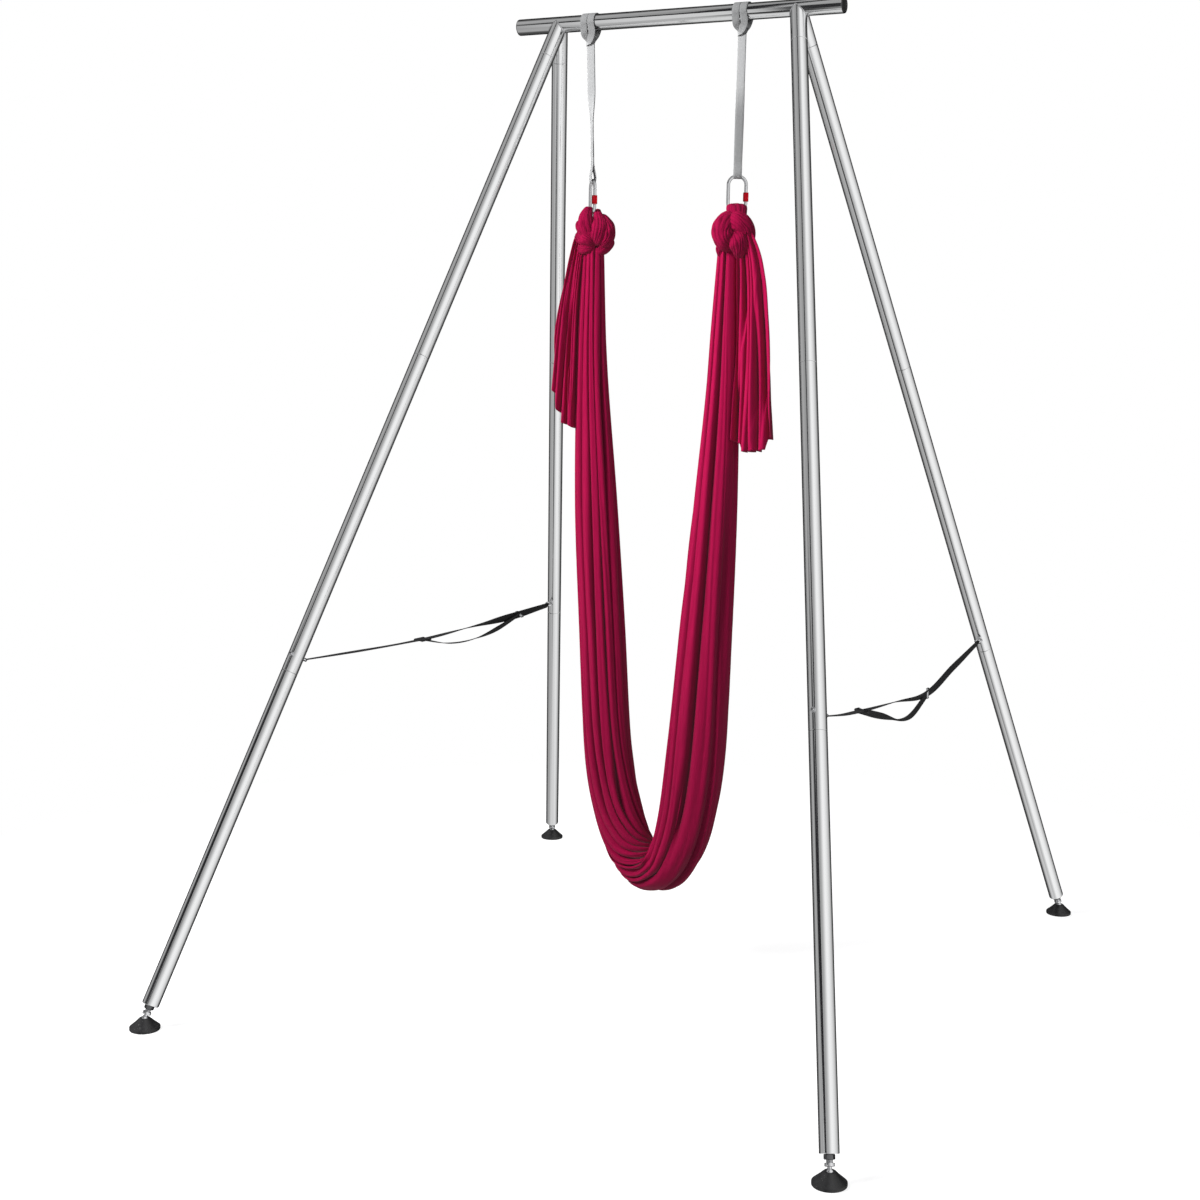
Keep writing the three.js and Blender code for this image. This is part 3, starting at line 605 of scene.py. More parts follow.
def make_end_plug(side, turn):
    seat = BAR_HALF + SLIP
    rim = TUBE_RADIUS - 0.0004
    outline = rounded([
        (SPIGOT - 0.001, seat - PLUG_DEPTH), (SPIGOT, seat - PLUG_DEPTH + PLUG_LIP), (SPIGOT, seat),
        (rim, seat), (rim, seat + PLUG_FLANGE * 0.55), (TUBE_RADIUS * 0.9, seat + PLUG_FLANGE),
        (TUBE_RADIUS * 0.55, seat + PLUG_FLANGE), (TUBE_RADIUS * 0.5, seat + PLUG_FLANGE * 0.7)], PLUG_LIP)
    add_piece(f"end_plug_{side}", lathe(outline, SIDES), BLACK_PLASTIC, f"end_cap_{side}",
              BAR_MATRIX @ placed(0, 0, 0, turn))


def socket_rim(leg, columns):
    """How far down the leg each line of a stub starts: at the crossbar, or at the stub's pair."""
    up = leg.matrix.to_3x3() @ Z_AXIS
    reaches = []
    for point in ring(columns, lambda c, s: (TUBE_RADIUS * c, TUBE_RADIUS * s, 0)):
        start = leg.matrix @ Vector(point)
        y, z = start.y, start.z - BAR_HEIGHT
        a = up.y**2 + up.z**2
        b = -2 * (y * up.y + z * up.z)
        root = b * b - 4 * a * (y * y + z * z - TUBE_RADIUS**2)
        reach = (-b + math.sqrt(root)) / (2 * a) if root > 0 else 0
        mitre = (SLIP / 2 - leg.lean * y) / (-leg.lean * up.y)
        reaches.append(max(reach, mitre))
    return reaches


def make_socket(leg):
    end = SOCKET_REACH - SLIP
    middle = end * 0.72
    rim = socket_rim(leg, SIDES)
    points = []
    for radius, depth in ((TUBE_RADIUS, None), (TUBE_RADIUS, middle), (TUBE_RADIUS, end - EDGE),
                          (TUBE_RADIUS - EDGE_INSET, end), (BORE, end), (BORE, middle), (BORE, None)):
        turned = ring(SIDES, lambda c, s: (radius * c, radius * s))
        points.extend((x, y, -(rim[i] if depth is None else depth)) for i, (x, y) in enumerate(turned))
    add_piece(f"socket_{leg.place}", (points, grid_faces(7, SIDES, round_along=True)), TUBE,
              f"leg_socket_{leg.place}", leg.matrix)


def make_weld(leg):
    columns = 2 * SIDES
    radial = ring(columns, lambda c, s: (c, s, 0))
    down = np.array(socket_rim(leg, columns))
    down = (np.roll(down, 1) + 2 * down + np.roll(down, -1)) / 4
    path = radial * TUBE_RADIUS - np.outer(down, Z_AXIS)
    ripple = 1 + 0.16 * np.sin(FULL_TURN * WELD_RIPPLES * np.arange(columns) / columns)
    bead = rod(path, WELD, 10, radial, np.stack([ripple, ripple], axis=1), loop=True)
    add_piece(f"weld_{leg.place}", bead, BEAD, None, leg.matrix, slot="tube_steel")


def make_leg_tube(leg, index, name):
    top = -(SOCKET_REACH + index * leg.tube_reach)
    foot = top - leg.tube_reach + SLIP
    spigot = top + (LEG_SPIGOT if index else SOCKET_SPIGOT)
    inner = SPIGOT - TUBE_WALL
    corners = [(TUBE_RADIUS - EDGE_INSET, foot), (TUBE_RADIUS, foot + EDGE), (TUBE_RADIUS, top - EDGE),
               (TUBE_RADIUS - EDGE_INSET, top), (SPIGOT, top), (SPIGOT, spigot), (inner, spigot),
               (inner, top - TUBE_WALL), (BORE, top - 2 * TUBE_WALL)]
    if name == "lower":
        hole = STEM + SLIP
        corners += [(BORE, foot + FOOT_PLUG), (hole, foot + FOOT_PLUG), (hole, foot)]
    else:
        corners.append((BORE, foot))
    add_piece(f"tube_{name}_{leg.place}", lathe(corners, SIDES, bored=True), TUBE,
              f"leg_tube_{name}_{leg.place}", leg.matrix)


def threaded_rod(radius, low, high, pitch, depth):
    rows = max(4, round((high - low) / pitch * 6))
    heights = [low + (high - low) * i / rows for i in range(1, rows)]

    def thread(here, height, angle):
        if not low < height < high:
            return here
        phase = (height / pitch - angle / FULL_TURN) % 1
        return here - depth * (1 - abs(2 * phase - 1))

    profile = [(radius - depth, low), *[(radius, height) for height in heights], (radius - depth, high)]
    return lathe(profile, 28, thread)


def hex_nut(across, height, bore):
    """A nut with turned-down corners at both ends."""
    half = across / 2
    corner = half / math.cos(math.pi / 6)
    bevel = corner - half

    def hexagon(radius, level, angle):
        if radius <= bore * 1.2:
            return radius
        return min(radius, half / math.cos((angle + math.pi / 6) % (math.pi / 3) - math.pi / 6))

    end = [(bore, 0), (half * 0.94, 0), (half * 1.02, bevel * 0.3), (corner, bevel * 0.9)]
    return lathe(end + [(radius, height - level) for radius, level in reversed(end)], SIDES, hexagon, True)


EYE_SEAT = TUBE_RADIUS + SLIP
EYE_COLLAR = 0.003
EYE_RING = 0.011
EYE_WIRE = 0.0025
EYE_NUT = 0.0065
EYE_NUT_WIDTH = 0.013
BOLT = 0.004
# A thread's pitch and depth
BOLT_THREAD = (0.00125, 0.0004)
EYE_CENTRE = EYE_SEAT + EYE_COLLAR + EYE_RING


def make_eye_bolt(leg):
    path = ring(48, lambda c, s: (EYE_RING * c, EYE_CENTRE + EYE_RING * s, -leg.eye_reach))
    shank = threaded_rod(BOLT, -EYE_SEAT - EYE_NUT - BOLT, EYE_SEAT + 0.0005, *BOLT_THREAD)
    collar = lathe(rounded([
        (0.0058, EYE_SEAT), (0.0072, EYE_SEAT), (0.0072, EYE_SEAT + EYE_COLLAR * 0.6),
        (0.0042, EYE_SEAT + EYE_COLLAR * 1.1), (0.0022, EYE_SEAT + EYE_COLLAR * 1.3)], 0.0007), 32)
    bolt = moved(together(shank, collar), placed(0, 0, -leg.eye_reach, -QUARTER_TURN))
    add_piece(f"eye_{leg.place}", together(rod(path, EYE_WIRE, 16, Z_AXIS, loop=True), bolt), BRIGHT,
              f"eye_bolt_{leg.place}", leg.matrix)
    add_piece(f"eye_nut_{leg.place}", hex_nut(EYE_NUT_WIDTH, EYE_NUT, BOLT + SLIP), BRIGHT,
              f"eye_bolt_nut_{leg.place}", leg.matrix @ placed(0, -EYE_SEAT, -leg.eye_reach, QUARTER_TURN))


BALL = 0.009
NECK = 0.0055
NECK_REACH = 0.011
COLLAR = 0.012
COLLAR_HEIGHT = 0.009
LOCK_NUT = 0.013
LOCK_NUT_WIDTH = 0.024
PAD = 0.0425
PAD_RIM = 0.011
PAD_TOP = 0.0145
PAD_HEIGHT = 0.034
CUP = BALL + 0.0005


def make_stem(leg):
    top = NECK_REACH + COLLAR_HEIGHT
    profile = arc(0, 0, BALL, 0.05 - QUARTER_TURN, math.acos(NECK / BALL), 12)
    profile += rounded([(NECK, NECK_REACH * 0.9), (NECK, NECK_REACH), (COLLAR, NECK_REACH + 0.0008),
                        (COLLAR, top), (STEM, top), (STEM * 0.96, top + 0.0006)], 0.0009)
    shaft = threaded_rod(STEM, top, STEM_REACH + STEM_INSIDE, *STEM_THREAD)
    stem = moved(together(lathe(profile, 48), shaft), placed(0, 0, -leg.ball_reach))
    name = f"foot_stem_{leg.place}"
    add_piece(f"stem_{leg.place}", stem, BRIGHT, name, leg.matrix, name)


def make_lock_nut(leg):
    add_piece(f"lock_nut_{leg.place}", hex_nut(LOCK_NUT_WIDTH, LOCK_NUT, STEM + SLIP), DARK_STEEL,
              f"foot_lock_nut_{leg.place}", leg.matrix @ placed(0, 0, -leg.tubes_reach - LOCK_NUT))


def make_pad(leg):
    lip = math.asin((PAD_HEIGHT - leg.ball.z) / CUP)
    outline = rounded([
        (PAD * 0.7, 0), (PAD - 0.0012, 0), (PAD, 0.0016), (PAD, PAD_RIM * 0.78),
        (PAD - 0.0008, PAD_RIM * 0.86), (PAD - 0.0026, PAD_RIM), (PAD_TOP + 0.0135, PAD_HEIGHT * 0.62),
        (PAD_TOP + 0.0035, PAD_HEIGHT * 0.90), (PAD_TOP, PAD_HEIGHT), (CUP * math.cos(lip), PAD_HEIGHT)],
        0.0009)
    outline += arc(0, leg.ball.z, CUP, lip, 0.06 - QUARTER_TURN, 9)[1:]
    name = f"foot_pad_{leg.place}"
    add_piece(f"pad_{leg.place}", lathe(outline, SIDES), BLACK_PLASTIC, name,
              placed(leg.ball.x, leg.ball.y, 0), name)


make_crossbar()
make_end_plug("left", math.pi)
make_end_plug("right", 0)
for leg in legs:
    make_socket(leg)
    make_weld(leg)
    for tube_index, tube_name in enumerate(LEG_TUBES):
        make_leg_tube(leg, tube_index, tube_name)
    make_eye_bolt(leg)
    make_stem(leg)
    make_lock_nut(leg)
    make_pad(leg)

# Spreader straps

STRAP_HALF = 0.0125
STRAP_THICK = 0.002
STRAP_NARROW = 0.0056
BUCKLE_RAIL = 0.0035
BUCKLE_BAR = 0.004
BUCKLE_TALL = 0.006
SLIDE_LENGTH = 0.016
# Buckles lie at shares of the way from the front leg to the rear one, counted from -1 to 1, and dips are
# below the eye bolts. Turns are quarters from lying flat to standing on edge, for each strand.
STRAPS = {
    "left": {"join": -0.14, "slide": 0.72, "dip": 0.020, "slide_dip": 0.010, "slack": 0.044,
             "turns": (0, 0, 0.05, 0, 0.35, 1, 0.9), "slack_turns": (0.1, 0, 0.2, 0.7, 0.6),
             "join_length": 0.056},
    "right": {"join": -0.6, "slide": 0.24, "dip": 0.034, "slide_dip": 0.082, "slack": 0.052,
              "turns": (0, 0, 0.15, 0.4, 1, 1, 0.95), "slack_turns": (0.4, 0.45, 0.1, 0.9, 1),
              "join_length": 0.036},
}


def block(centre, size, bevel=0.0008):
    """A small block with softened edges."""
    x, y, z = (length / 2 for length in size)
    outline = rounded([(x, y), (-x, y), (-x, -y), (x, -y)], bevel * 1.6, 2, True)
    points = []
    for level, inset in ((-z, bevel), (-z + bevel, 0), (z - bevel, 0), (z, bevel)):
        points.extend((a - math.copysign(inset, a), b - math.copysign(inset, b), level) for a, b in outline)
    return moved((points, capped(4, len(outline))), placed(*centre))


def ladder_lock(matrix, length):
    """A frame with two cross bars: the webbing goes over one and under the other."""
    half = STRAP_HALF + BUCKLE_RAIL / 2
    parts = [block((side * half, 0, 0), (BUCKLE_RAIL, length, BUCKLE_TALL)) for side in (-1, 1)]
    for share, lift in ((-0.5, 0), (-0.12, 0.0004), (0.2, 0.0004), (0.5, 0)):
        parts.append(block((0, share * (length - BUCKLE_BAR), lift),
                           (2 * STRAP_HALF + BUCKLE_RAIL, BUCKLE_BAR, BUCKLE_TALL * 0.72)))
    return moved(together(*parts), matrix)


def strap_strand(points, turns, shares):
    """One strand, with its turn and its share of the full width at each point."""
    count = 90
    knots = np.arange(len(points))
    where = np.linspace(0, knots[-1], count)
    path = smooth_path(points, count)
    path[:, 0] += 0.0006 * np.sin(where * 5) * np.sin(where / knots[-1] * math.pi)
    return band(path, X_AXIS, STRAP_HALF, STRAP_THICK, spline(knots, shares, where),
                twist=-spline(knots, turns, where) * QUARTER_TURN)


def strap_wrap(leg):
    """The strap's sewn loop round an eye bolt's ring."""
    reach = EYE_WIRE + SLIP + STRAP_THICK / 2 + 0.0003
    path = ring(24, lambda c, s: (0, EYE_CENTRE + EYE_RING + reach * c, -leg.eye_reach + reach * s))
    part, uvs = band(path, X_AXIS, STRAP_NARROW, STRAP_THICK * 0.8, loop=True)
    return moved(part, leg.matrix), uvs


def make_strap(side, plan):
    front, rear = (leg for leg in legs if leg.place.endswith(side))
    start, end = (leg.matrix @ Vector((0, EYE_CENTRE + EYE_RING, -leg.eye_reach)) for leg in (front, rear))
    join_at, slide_at = plan["join"], plan["slide"]
    join_dip, slide_dip, slack = plan["dip"], plan["slide_dip"], plan["slack"]

    def at(share, dip):
        return Vector((end.x, share * end.y, end.z - dip))

    join, slide = at(join_at, join_dip), at(slide_at, slide_dip)
    middle, middle_dip = (join_at + slide_at) / 2, (join_dip + slide_dip) / 2
    under = Z_AXIS * 0.0012
    way = [start, at((join_at - 1) / 2, join_dip * 0.6), join, at(middle, middle_dip), slide,
           at((slide_at + 1) / 2, slide_dip / 2), end]
    low = [join - under, at((join_at * 3 + slide_at) / 4, join_dip + slack * 0.75),
           at(middle, middle_dip + slack), at((join_at + slide_at * 3) / 4, slide_dip + slack * 0.75),
           slide - under]
    bands = [strap_strand(way, plan["turns"], (STRAP_NARROW / STRAP_HALF, 1, 1, 1, 1, 1, 0.7)),
             strap_strand(low, plan["slack_turns"], (0.9, 1, 1, 1, 0.9)), strap_wrap(front), strap_wrap(rear)]
    add_bands(f"strap_{side}", bands, BLACK_WEB, f"spreader_strap_{side}")

    path = smooth_path(way, 181)
    for name, place, length, turn, material in (
            ("joining_buckle", join, plan["join_length"], plan["turns"][2], BLACK_PLASTIC),
            ("slide_buckle", slide, SLIDE_LENGTH, plan["turns"][4], BRIGHT)):
        nearest = int(np.argmin(np.linalg.norm(path - np.array(place), axis=1)))
        ahead = Vector(tangents(path)[nearest])
        wide = Matrix.Rotation(turn * QUARTER_TURN, 3, ahead) @ X_AXIS
        matrix = columns_matrix(wide, ahead, wide.cross(ahead).normalized(), place)
        add_piece(f"{name}_{side}_piece", ladder_lock(matrix, length), material, f"{name}_{side}",
                  slot="black_plastic")


for strap_side, strap_plan in STRAPS.items():
    make_strap(strap_side, strap_plan)

# Slings and carabiners

ROD = 0.005
HOOK_HALF = 0.026
HOOK_HEIGHT = 0.092
TOP_BEND = 0.024
FOOT_BEND = 0.015
HINGE_DROP = 0.029
NOSE_DROP = 0.073
SLEEVE = 0.026
SLEEVE_WALL = 0.0028
SLEEVE_FLUTES = 20
WEB_HALF = 0.0125
WEB_THICK = 0.0022
TWIST = 0.15
HITCH_DROP = TUBE_RADIUS + 0.030
HITCH_SHIFT = 0.0116
HITCH_RADIUS = TUBE_RADIUS + 0.0012 + WEB_THICK / 2
HITCH_ARC = (math.radians(-25), math.radians(205))
HITCH_COLLAR = (0.0135, 0.0075)
HITCH_COLLAR_HALF = 0.0075
STITCH = 0.00032
STITCH_PITCH = 0.0026
TACK_COLUMNS = 8
TACK_ROWS = 5
TACK_RISE = 0.034
# How each turn of the hitch dives behind the strands, from the choke: the left turn and the right one
CROSSINGS = {
    -1: ((-0.0115, -0.0165, 0.0165), (-0.004, -0.009, 0.005), (0.0, -0.003, -0.004), (0.001, 0.001, -0.012)),
    1: ((0.012, -0.0185, 0.0165), (0.0035, -0.0125, 0.004), (-0.003, -0.006, -0.006),
        (-0.002, 0.001, -0.014)),
}


def facing(angle):
    """The ways of a band's width and depth, turned about Z."""
    return Vector((math.cos(angle), math.sin(angle), 0)), Vector((-math.sin(angle), math.cos(angle), 0))


class Hanger:
    """One side's sling and carabiner: where the sling is tied, and the carabiner's place and turn."""

    def __init__(self, side):
        self.side = side
        self.tie = Vector(joints[f"sling_swing_{side}"]["pos_m"])
        self.pivot = Vector(joints[f"carabiner_pivot_{side}"]["pos_m"])
        out = Vector(joints[f"gate_hinge_{side}"]["pos_m"]) - self.pivot
        self.yaw = math.atan2(out.y, out.x)
        self.matrix = placed(*self.pivot, self.yaw, "Z")
        self.gate = self.matrix @ placed(HOOK_HALF, 0, 0)
        self.inward = 1 if side == "left" else -1
        self.foot = self.pivot - Z_AXIS * HOOK_HEIGHT
        self.choke = Vector((self.tie.x, 0, BAR_HEIGHT - HITCH_DROP))


hangers = {side: Hanger(side) for side in ("left", "right")}


def make_carabiner(hanger):
    side = hanger.side
    foot_x, top_x = HOOK_HALF - FOOT_BEND, HOOK_HALF - TOP_BEND
    foot_z = FOOT_BEND - HOOK_HEIGHT
    way = [(HOOK_HALF, -NOSE_DROP), (HOOK_HALF, -NOSE_DROP - 0.002),
           *arc(foot_x, foot_z, FOOT_BEND, 0, -QUARTER_TURN, 12),
           *arc(-foot_x, foot_z, FOOT_BEND, -QUARTER_TURN, -math.pi, 12),
           *[(-HOOK_HALF, foot_z - (foot_z + TOP_BEND) * i / 6) for i in range(1, 6)],
           *arc(-top_x, -TOP_BEND, TOP_BEND, math.pi, QUARTER_TURN, 16),
           *arc(top_x, -TOP_BEND, TOP_BEND, QUARTER_TURN, 0, 16),
           (HOOK_HALF, 0.002 - HINGE_DROP), (HOOK_HALF, -HINGE_DROP - 0.0035)]
    path = np.array([(x, 0, z) for x, z in way])
    apart = np.linalg.norm(np.diff(path, axis=0), axis=1) > 1e-5
    path = path[np.concatenate([[True], apart])]
    # The nose is slim, and the other end is flattened for the gate's hinge
    grow = np.ones((len(path), 2))
    grow[0] = 0.86
    grow[-1] = (0.38, 0.8)
    grow[-2] = (0.42, 1.0)
    add_piece(f"carabiner_{side}_piece", rod(path, ROD, 28, Y_AXIS, grow), BRIGHT, f"carabiner_body_{side}",
              hanger.matrix, f"carabiner_{side}", "tube_steel")


def make_gate(hanger):
    side = hanger.side
    low, high = SLIP - NOSE_DROP, -HINGE_DROP
    bar = lathe(rounded([(ROD * 0.8, low), (ROD, low + 0.0004), (ROD, high - 0.005), (ROD, high),
                         (ROD * 0.72, high + 0.0042)], 0.0008), 32)
    pin = lathe(rounded([(0.0012, -0.0054), (0.0021, -0.0052), (0.0021, 0.0052), (0.0012, 0.0054)],
                        0.0004), 20)
    add_piece(f"gate_{side}_piece", together(bar, moved(pin, placed(0, 0, high, QUARTER_TURN))), BRIGHT,
              f"carabiner_gate_{side}", hanger.gate, f"gate_{side}", "tube_steel")


def make_sleeve(hanger):
    side = hanger.side
    bore = ROD + SLIP
    outer = bore + SLEEVE_WALL

    def knurl(radius, height, angle):
        if radius < outer * 0.97 or not 0.0035 < height < SLEEVE - 0.0035:
            return radius
        return radius - 0.00035 * (1 - abs(math.cos(angle * SLEEVE_FLUTES)))

    end = [(bore, 0), (outer - 0.0009, 0), (outer, 0.0009), (outer, 0.0026), (outer - 0.0007, 0.003)]
    levels = [(outer, 0.0036 + (SLEEVE - 0.0072) * i / 6) for i in range(7)]
    profile = end + levels + [(radius, SLEEVE - height) for radius, height in reversed(end)]
    add_piece(f"sleeve_{side}_piece", lathe(profile, 160, knurl, True), RED, f"screw_sleeve_{side}",
              hanger.gate @ placed(0, 0, 0.001 - NOSE_DROP), f"sleeve_{side}")


def web_band(points, ways, count, share=1.0, end=1.0):
    """A smooth band of sling webbing, at a share of its width and narrowed further to its end."""
    where = np.linspace(0, 1, count)
    ways = unit(spline(np.linspace(0, 1, len(ways)), ways, where))
    taper = np.clip((where - 0.86) / 0.14, 0, 1) ** 1.5
    return band(smooth_path(points, count), ways, WEB_HALF, WEB_THICK, share * (1 - taper * (1 - end)),
                gathered=True)


def hitch_turn(hanger, side):
    """Webbing from the choke up round the crossbar, and down across the front to behind the strands."""
    choke = hanger.choke
    shift = side * HITCH_SHIFT
    points = [choke + Vector((shift * 0.2, 0.003, -0.004)), choke + Vector((shift * 0.8, 0.012, 0.013))]
    ways = [(1, 0, side * 0.3)] * 2
    for y, z in arc(0, 0, 1, *HITCH_ARC, 12):
        spread = 1 + 0.16 * max(0, -z) + 0.05 * side * y
        points.append((hanger.tie.x + shift * spread, HITCH_RADIUS * y, BAR_HEIGHT + HITCH_RADIUS * z))
        ways.append(X_AXIS)
    points += [choke + Vector(offset) for offset in CROSSINGS[side]]
    ways += [(1, 0, -side * 0.55)] * len(CROSSINGS[side])
    return web_band(points, ways, 120, 0.9, 0.3)


def hitch_collar(hanger):
    x, z = hanger.choke.x, hanger.choke.z - 0.002
    half_x, half_y = HITCH_COLLAR
    path = ring(32, lambda c, s: (x + half_x * c, half_y * s, z + 0.005 * c))
    return band(path, Z_AXIS, HITCH_COLLAR_HALF, WEB_THICK, loop=True)


def sling_strands(hanger):
    """Both strands from the choke down to the bight, turning to face the carabiner on the way."""
    choke, pivot = hanger.choke, hanger.pivot
    gap = WEB_THICK / 2 + 0.0002
    bend = ROD + WEB_THICK / 2 + 0.0006
    turn_start = 1 - TWIST / (choke.z - pivot.z)
    front, back = [], []
    for share in (0, 0.2, 0.4, 0.55, 0.68, 0.8, 0.9):
        t = min(max((share - turn_start) / (1 - turn_start) * 1.15, 0), 1)
        wide, deep = facing(hanger.yaw * smooth_step(t))
        spot = choke.lerp(pivot + Z_AXIS * ROD, share)
        front.append((spot - deep * gap, wide))
        back.append((spot + deep * gap, wide))
    wide, deep = facing(hanger.yaw)
    bight = [(pivot + deep * out + Z_AXIS * up, wide) for out, up in arc(0, 0, bend, math.pi, FULL_TURN, 8)]
    return web_band(*zip(*front, *bight, *reversed(back)), 170)


def bar_tack(centre, wide, through):
    """Rows of short raised threads."""
    parts = []
    for row in range(TACK_ROWS):
        for column in range(TACK_COLUMNS):
            spot = (centre + wide * ((column - (TACK_COLUMNS - 1) / 2) * STITCH_PITCH)
                    + Z_AXIS * ((row - (TACK_ROWS - 1) / 2) * STITCH_PITCH * 1.5) + through * 0.0002)
            lean = Matrix.Rotation(0.5 if row % 2 else -0.5, 3, through) @ Z_AXIS
            way = [spot + lean * (STITCH_PITCH * 0.65 * k) + through * (0.0004 * (1 - k * k))
                   for k in (-1, 0, 1)]
            parts.append(rod(np.array(way), STITCH, 6, wide))
    return together(*parts)


def make_sling(hanger):
    side = hanger.side
    bands = [hitch_turn(hanger, -1), hitch_turn(hanger, 1), hitch_collar(hanger), sling_strands(hanger)]
    add_bands(f"sling_{side}_piece", bands, GREY_WEB, f"sling_{side}", body=f"sling_{side}")
    wide, deep = facing(hanger.yaw)
    centre = hanger.pivot + Z_AXIS * TACK_RISE
    tacks = [bar_tack(centre + deep * (face * (WEB_THICK + 0.0002)), wide, deep * face) for face in (-1, 1)]
    add_piece(f"bar_tack_{side}", together(*tacks), GREY_THREAD, body=f"sling_{side}", slot="grey_webbing")


for hanger in hangers.values():
    make_sling(hanger)
    make_carabiner(hanger)
    make_gate(hanger)
    make_sleeve(hanger)

# Hammock cloth

CLOTH_WIDTH = 1.2
CLOTH_THICK = 0.0008
KNOT_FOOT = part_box("hammock_band")[1].z
BAND_INSET = 0.014
BAND_HALF_WIDTH = 0.095
BAND_HALF_DEPTH = 0.072
BAND_MIDDLE = (hangers["left"].pivot.x + hangers["right"].pivot.x) / 2
BAND_SPREAD = (hangers["right"].pivot.x - hangers["left"].pivot.x) / 2 - BAND_INSET
BAND_LOWEST = 0.313
BAND_ASIDE = 0.007
# The cloth goes once round the bundle and overlaps itself by a radian
BAND_WRAP = FULL_TURN + 1
# Between these heights painted shade grows towards the bottom of the band, darkening the cloth
BAND_SHADE_HEIGHTS = (0.6, 1.8)
LOW_SHADE_STRENGTH = 0.36
# Across, height, half-width and half-depth along the band, from the left knot to the right one
BAND_SHARES = [
    (-1, 1.008, 0.35, 0.42), (-0.996, 0.808, 0.53, 0.56), (-0.916, 0.602, 0.73, 0.7),
    (-0.8, 0.403, 0.8, 0.78), (-0.676, 0.203, 0.84, 0.84), (-0.507, 0.098, 0.85, 0.9),
    (-0.258, 0.029, 0.8, 0.96), (0.022, 0, 0.78, 1), (0.329, 0.017, 0.84, 0.96),
    (0.551, 0.083, 0.96, 0.9), (0.693, 0.214, 1, 0.84), (0.791, 0.403, 0.88, 0.78),
    (0.884, 0.608, 0.73, 0.7), (0.96, 0.808, 0.53, 0.56), (1, 1.008, 0.35, 0.42),
]
# Where the near selvedge lies round the band: at its outer side on the left arm, in front at the
# bottom, and at its inner side on the right arm
LIP_SHARES = [(0, 3.5), (0.3, 3.4), (0.38, 3.15), (0.42, 2.7), (0.46, 1.75), (0.5, 1.0), (0.56, 0.55),
              (0.7, 0.38), (1, 0.35)]
# Pleats counted across the cloth, and how deep they are
PLEAT_SHARES = [(0, 0), (0.14, 2.2), (0.4, 4.4), (0.62, 8.2), (1, 13.4)]
DEPTH_SHARES = [(0, 0.18), (0.1, 0.28), (0.15, 0.50), (0.2, 0.14), (0.38, 0.18), (0.46, 0.44), (0.8, 0.5),
                (1, 0.3)]


def table(shares, where):
    return np.interp(where, *np.array(shares, float).T)


def curve(shares, where):
    return spline(*np.array(shares, float).T, where)


def wander(s, u, seed, across, along):
    """A slow, smooth and repeatable wandering between -1 and 1."""
    total = 0
    for k, (a, b) in enumerate(((1.0, 1.0), (1.9, 2.3), (3.7, 3.1))):
        total = total + np.sin(FULL_TURN * (across * a * s + along * b * u) + seed * (k + 1.7)) / (k + 1)
    return total / 1.83


def pleat(phase, sharp):
    """0 on a fold's back and 1 in the crease beside it, with broad backs and narrow creases."""
    turn = FULL_TURN * phase
    return (1 - np.cos(turn - sharp * np.sin(turn))) / 2


def cloth_piece(name, part, crease, uvs):
    """A piece of the hammock whose points carry painted shade in a crease attribute, darkest deep in a fold.
    It is kept out of the steel's reflections."""
    piece = add_piece(f"hammock_cloth_{name}", part, CLOTH, f"hammock_{name}", body="carabiner_left",
                      sharp=180, uvs=uvs)
    # The crease attribute holds painted shade for the cloth's colour
    layer = piece.data.attributes.new("crease", "FLOAT", "POINT")
    layer.data.foreach_set("value", np.clip(crease, 0, 1).astype(np.float32).ravel())
    piece.visible_glossy = False
    return piece


def cloth_sheet(name, rings, crease, S, along, width, length):
    """An open sheet of cloth from a grid of points, with S across it and along it from 0 to 1."""
    rows, columns = S.shape
    part = rings.reshape(-1, 3).tolist(), grid_faces(rows, columns, round_across=False)
    uvs = np.stack([S * width, along * length], axis=-1).reshape(-1, 2)
    return cloth_piece(name, part, crease, uvs)


def thicken(piece):
    solidify = piece.modifiers.new("cloth_thickness", "SOLIDIFY")
    solidify.thickness = CLOTH_THICK
    solidify.offset = 0


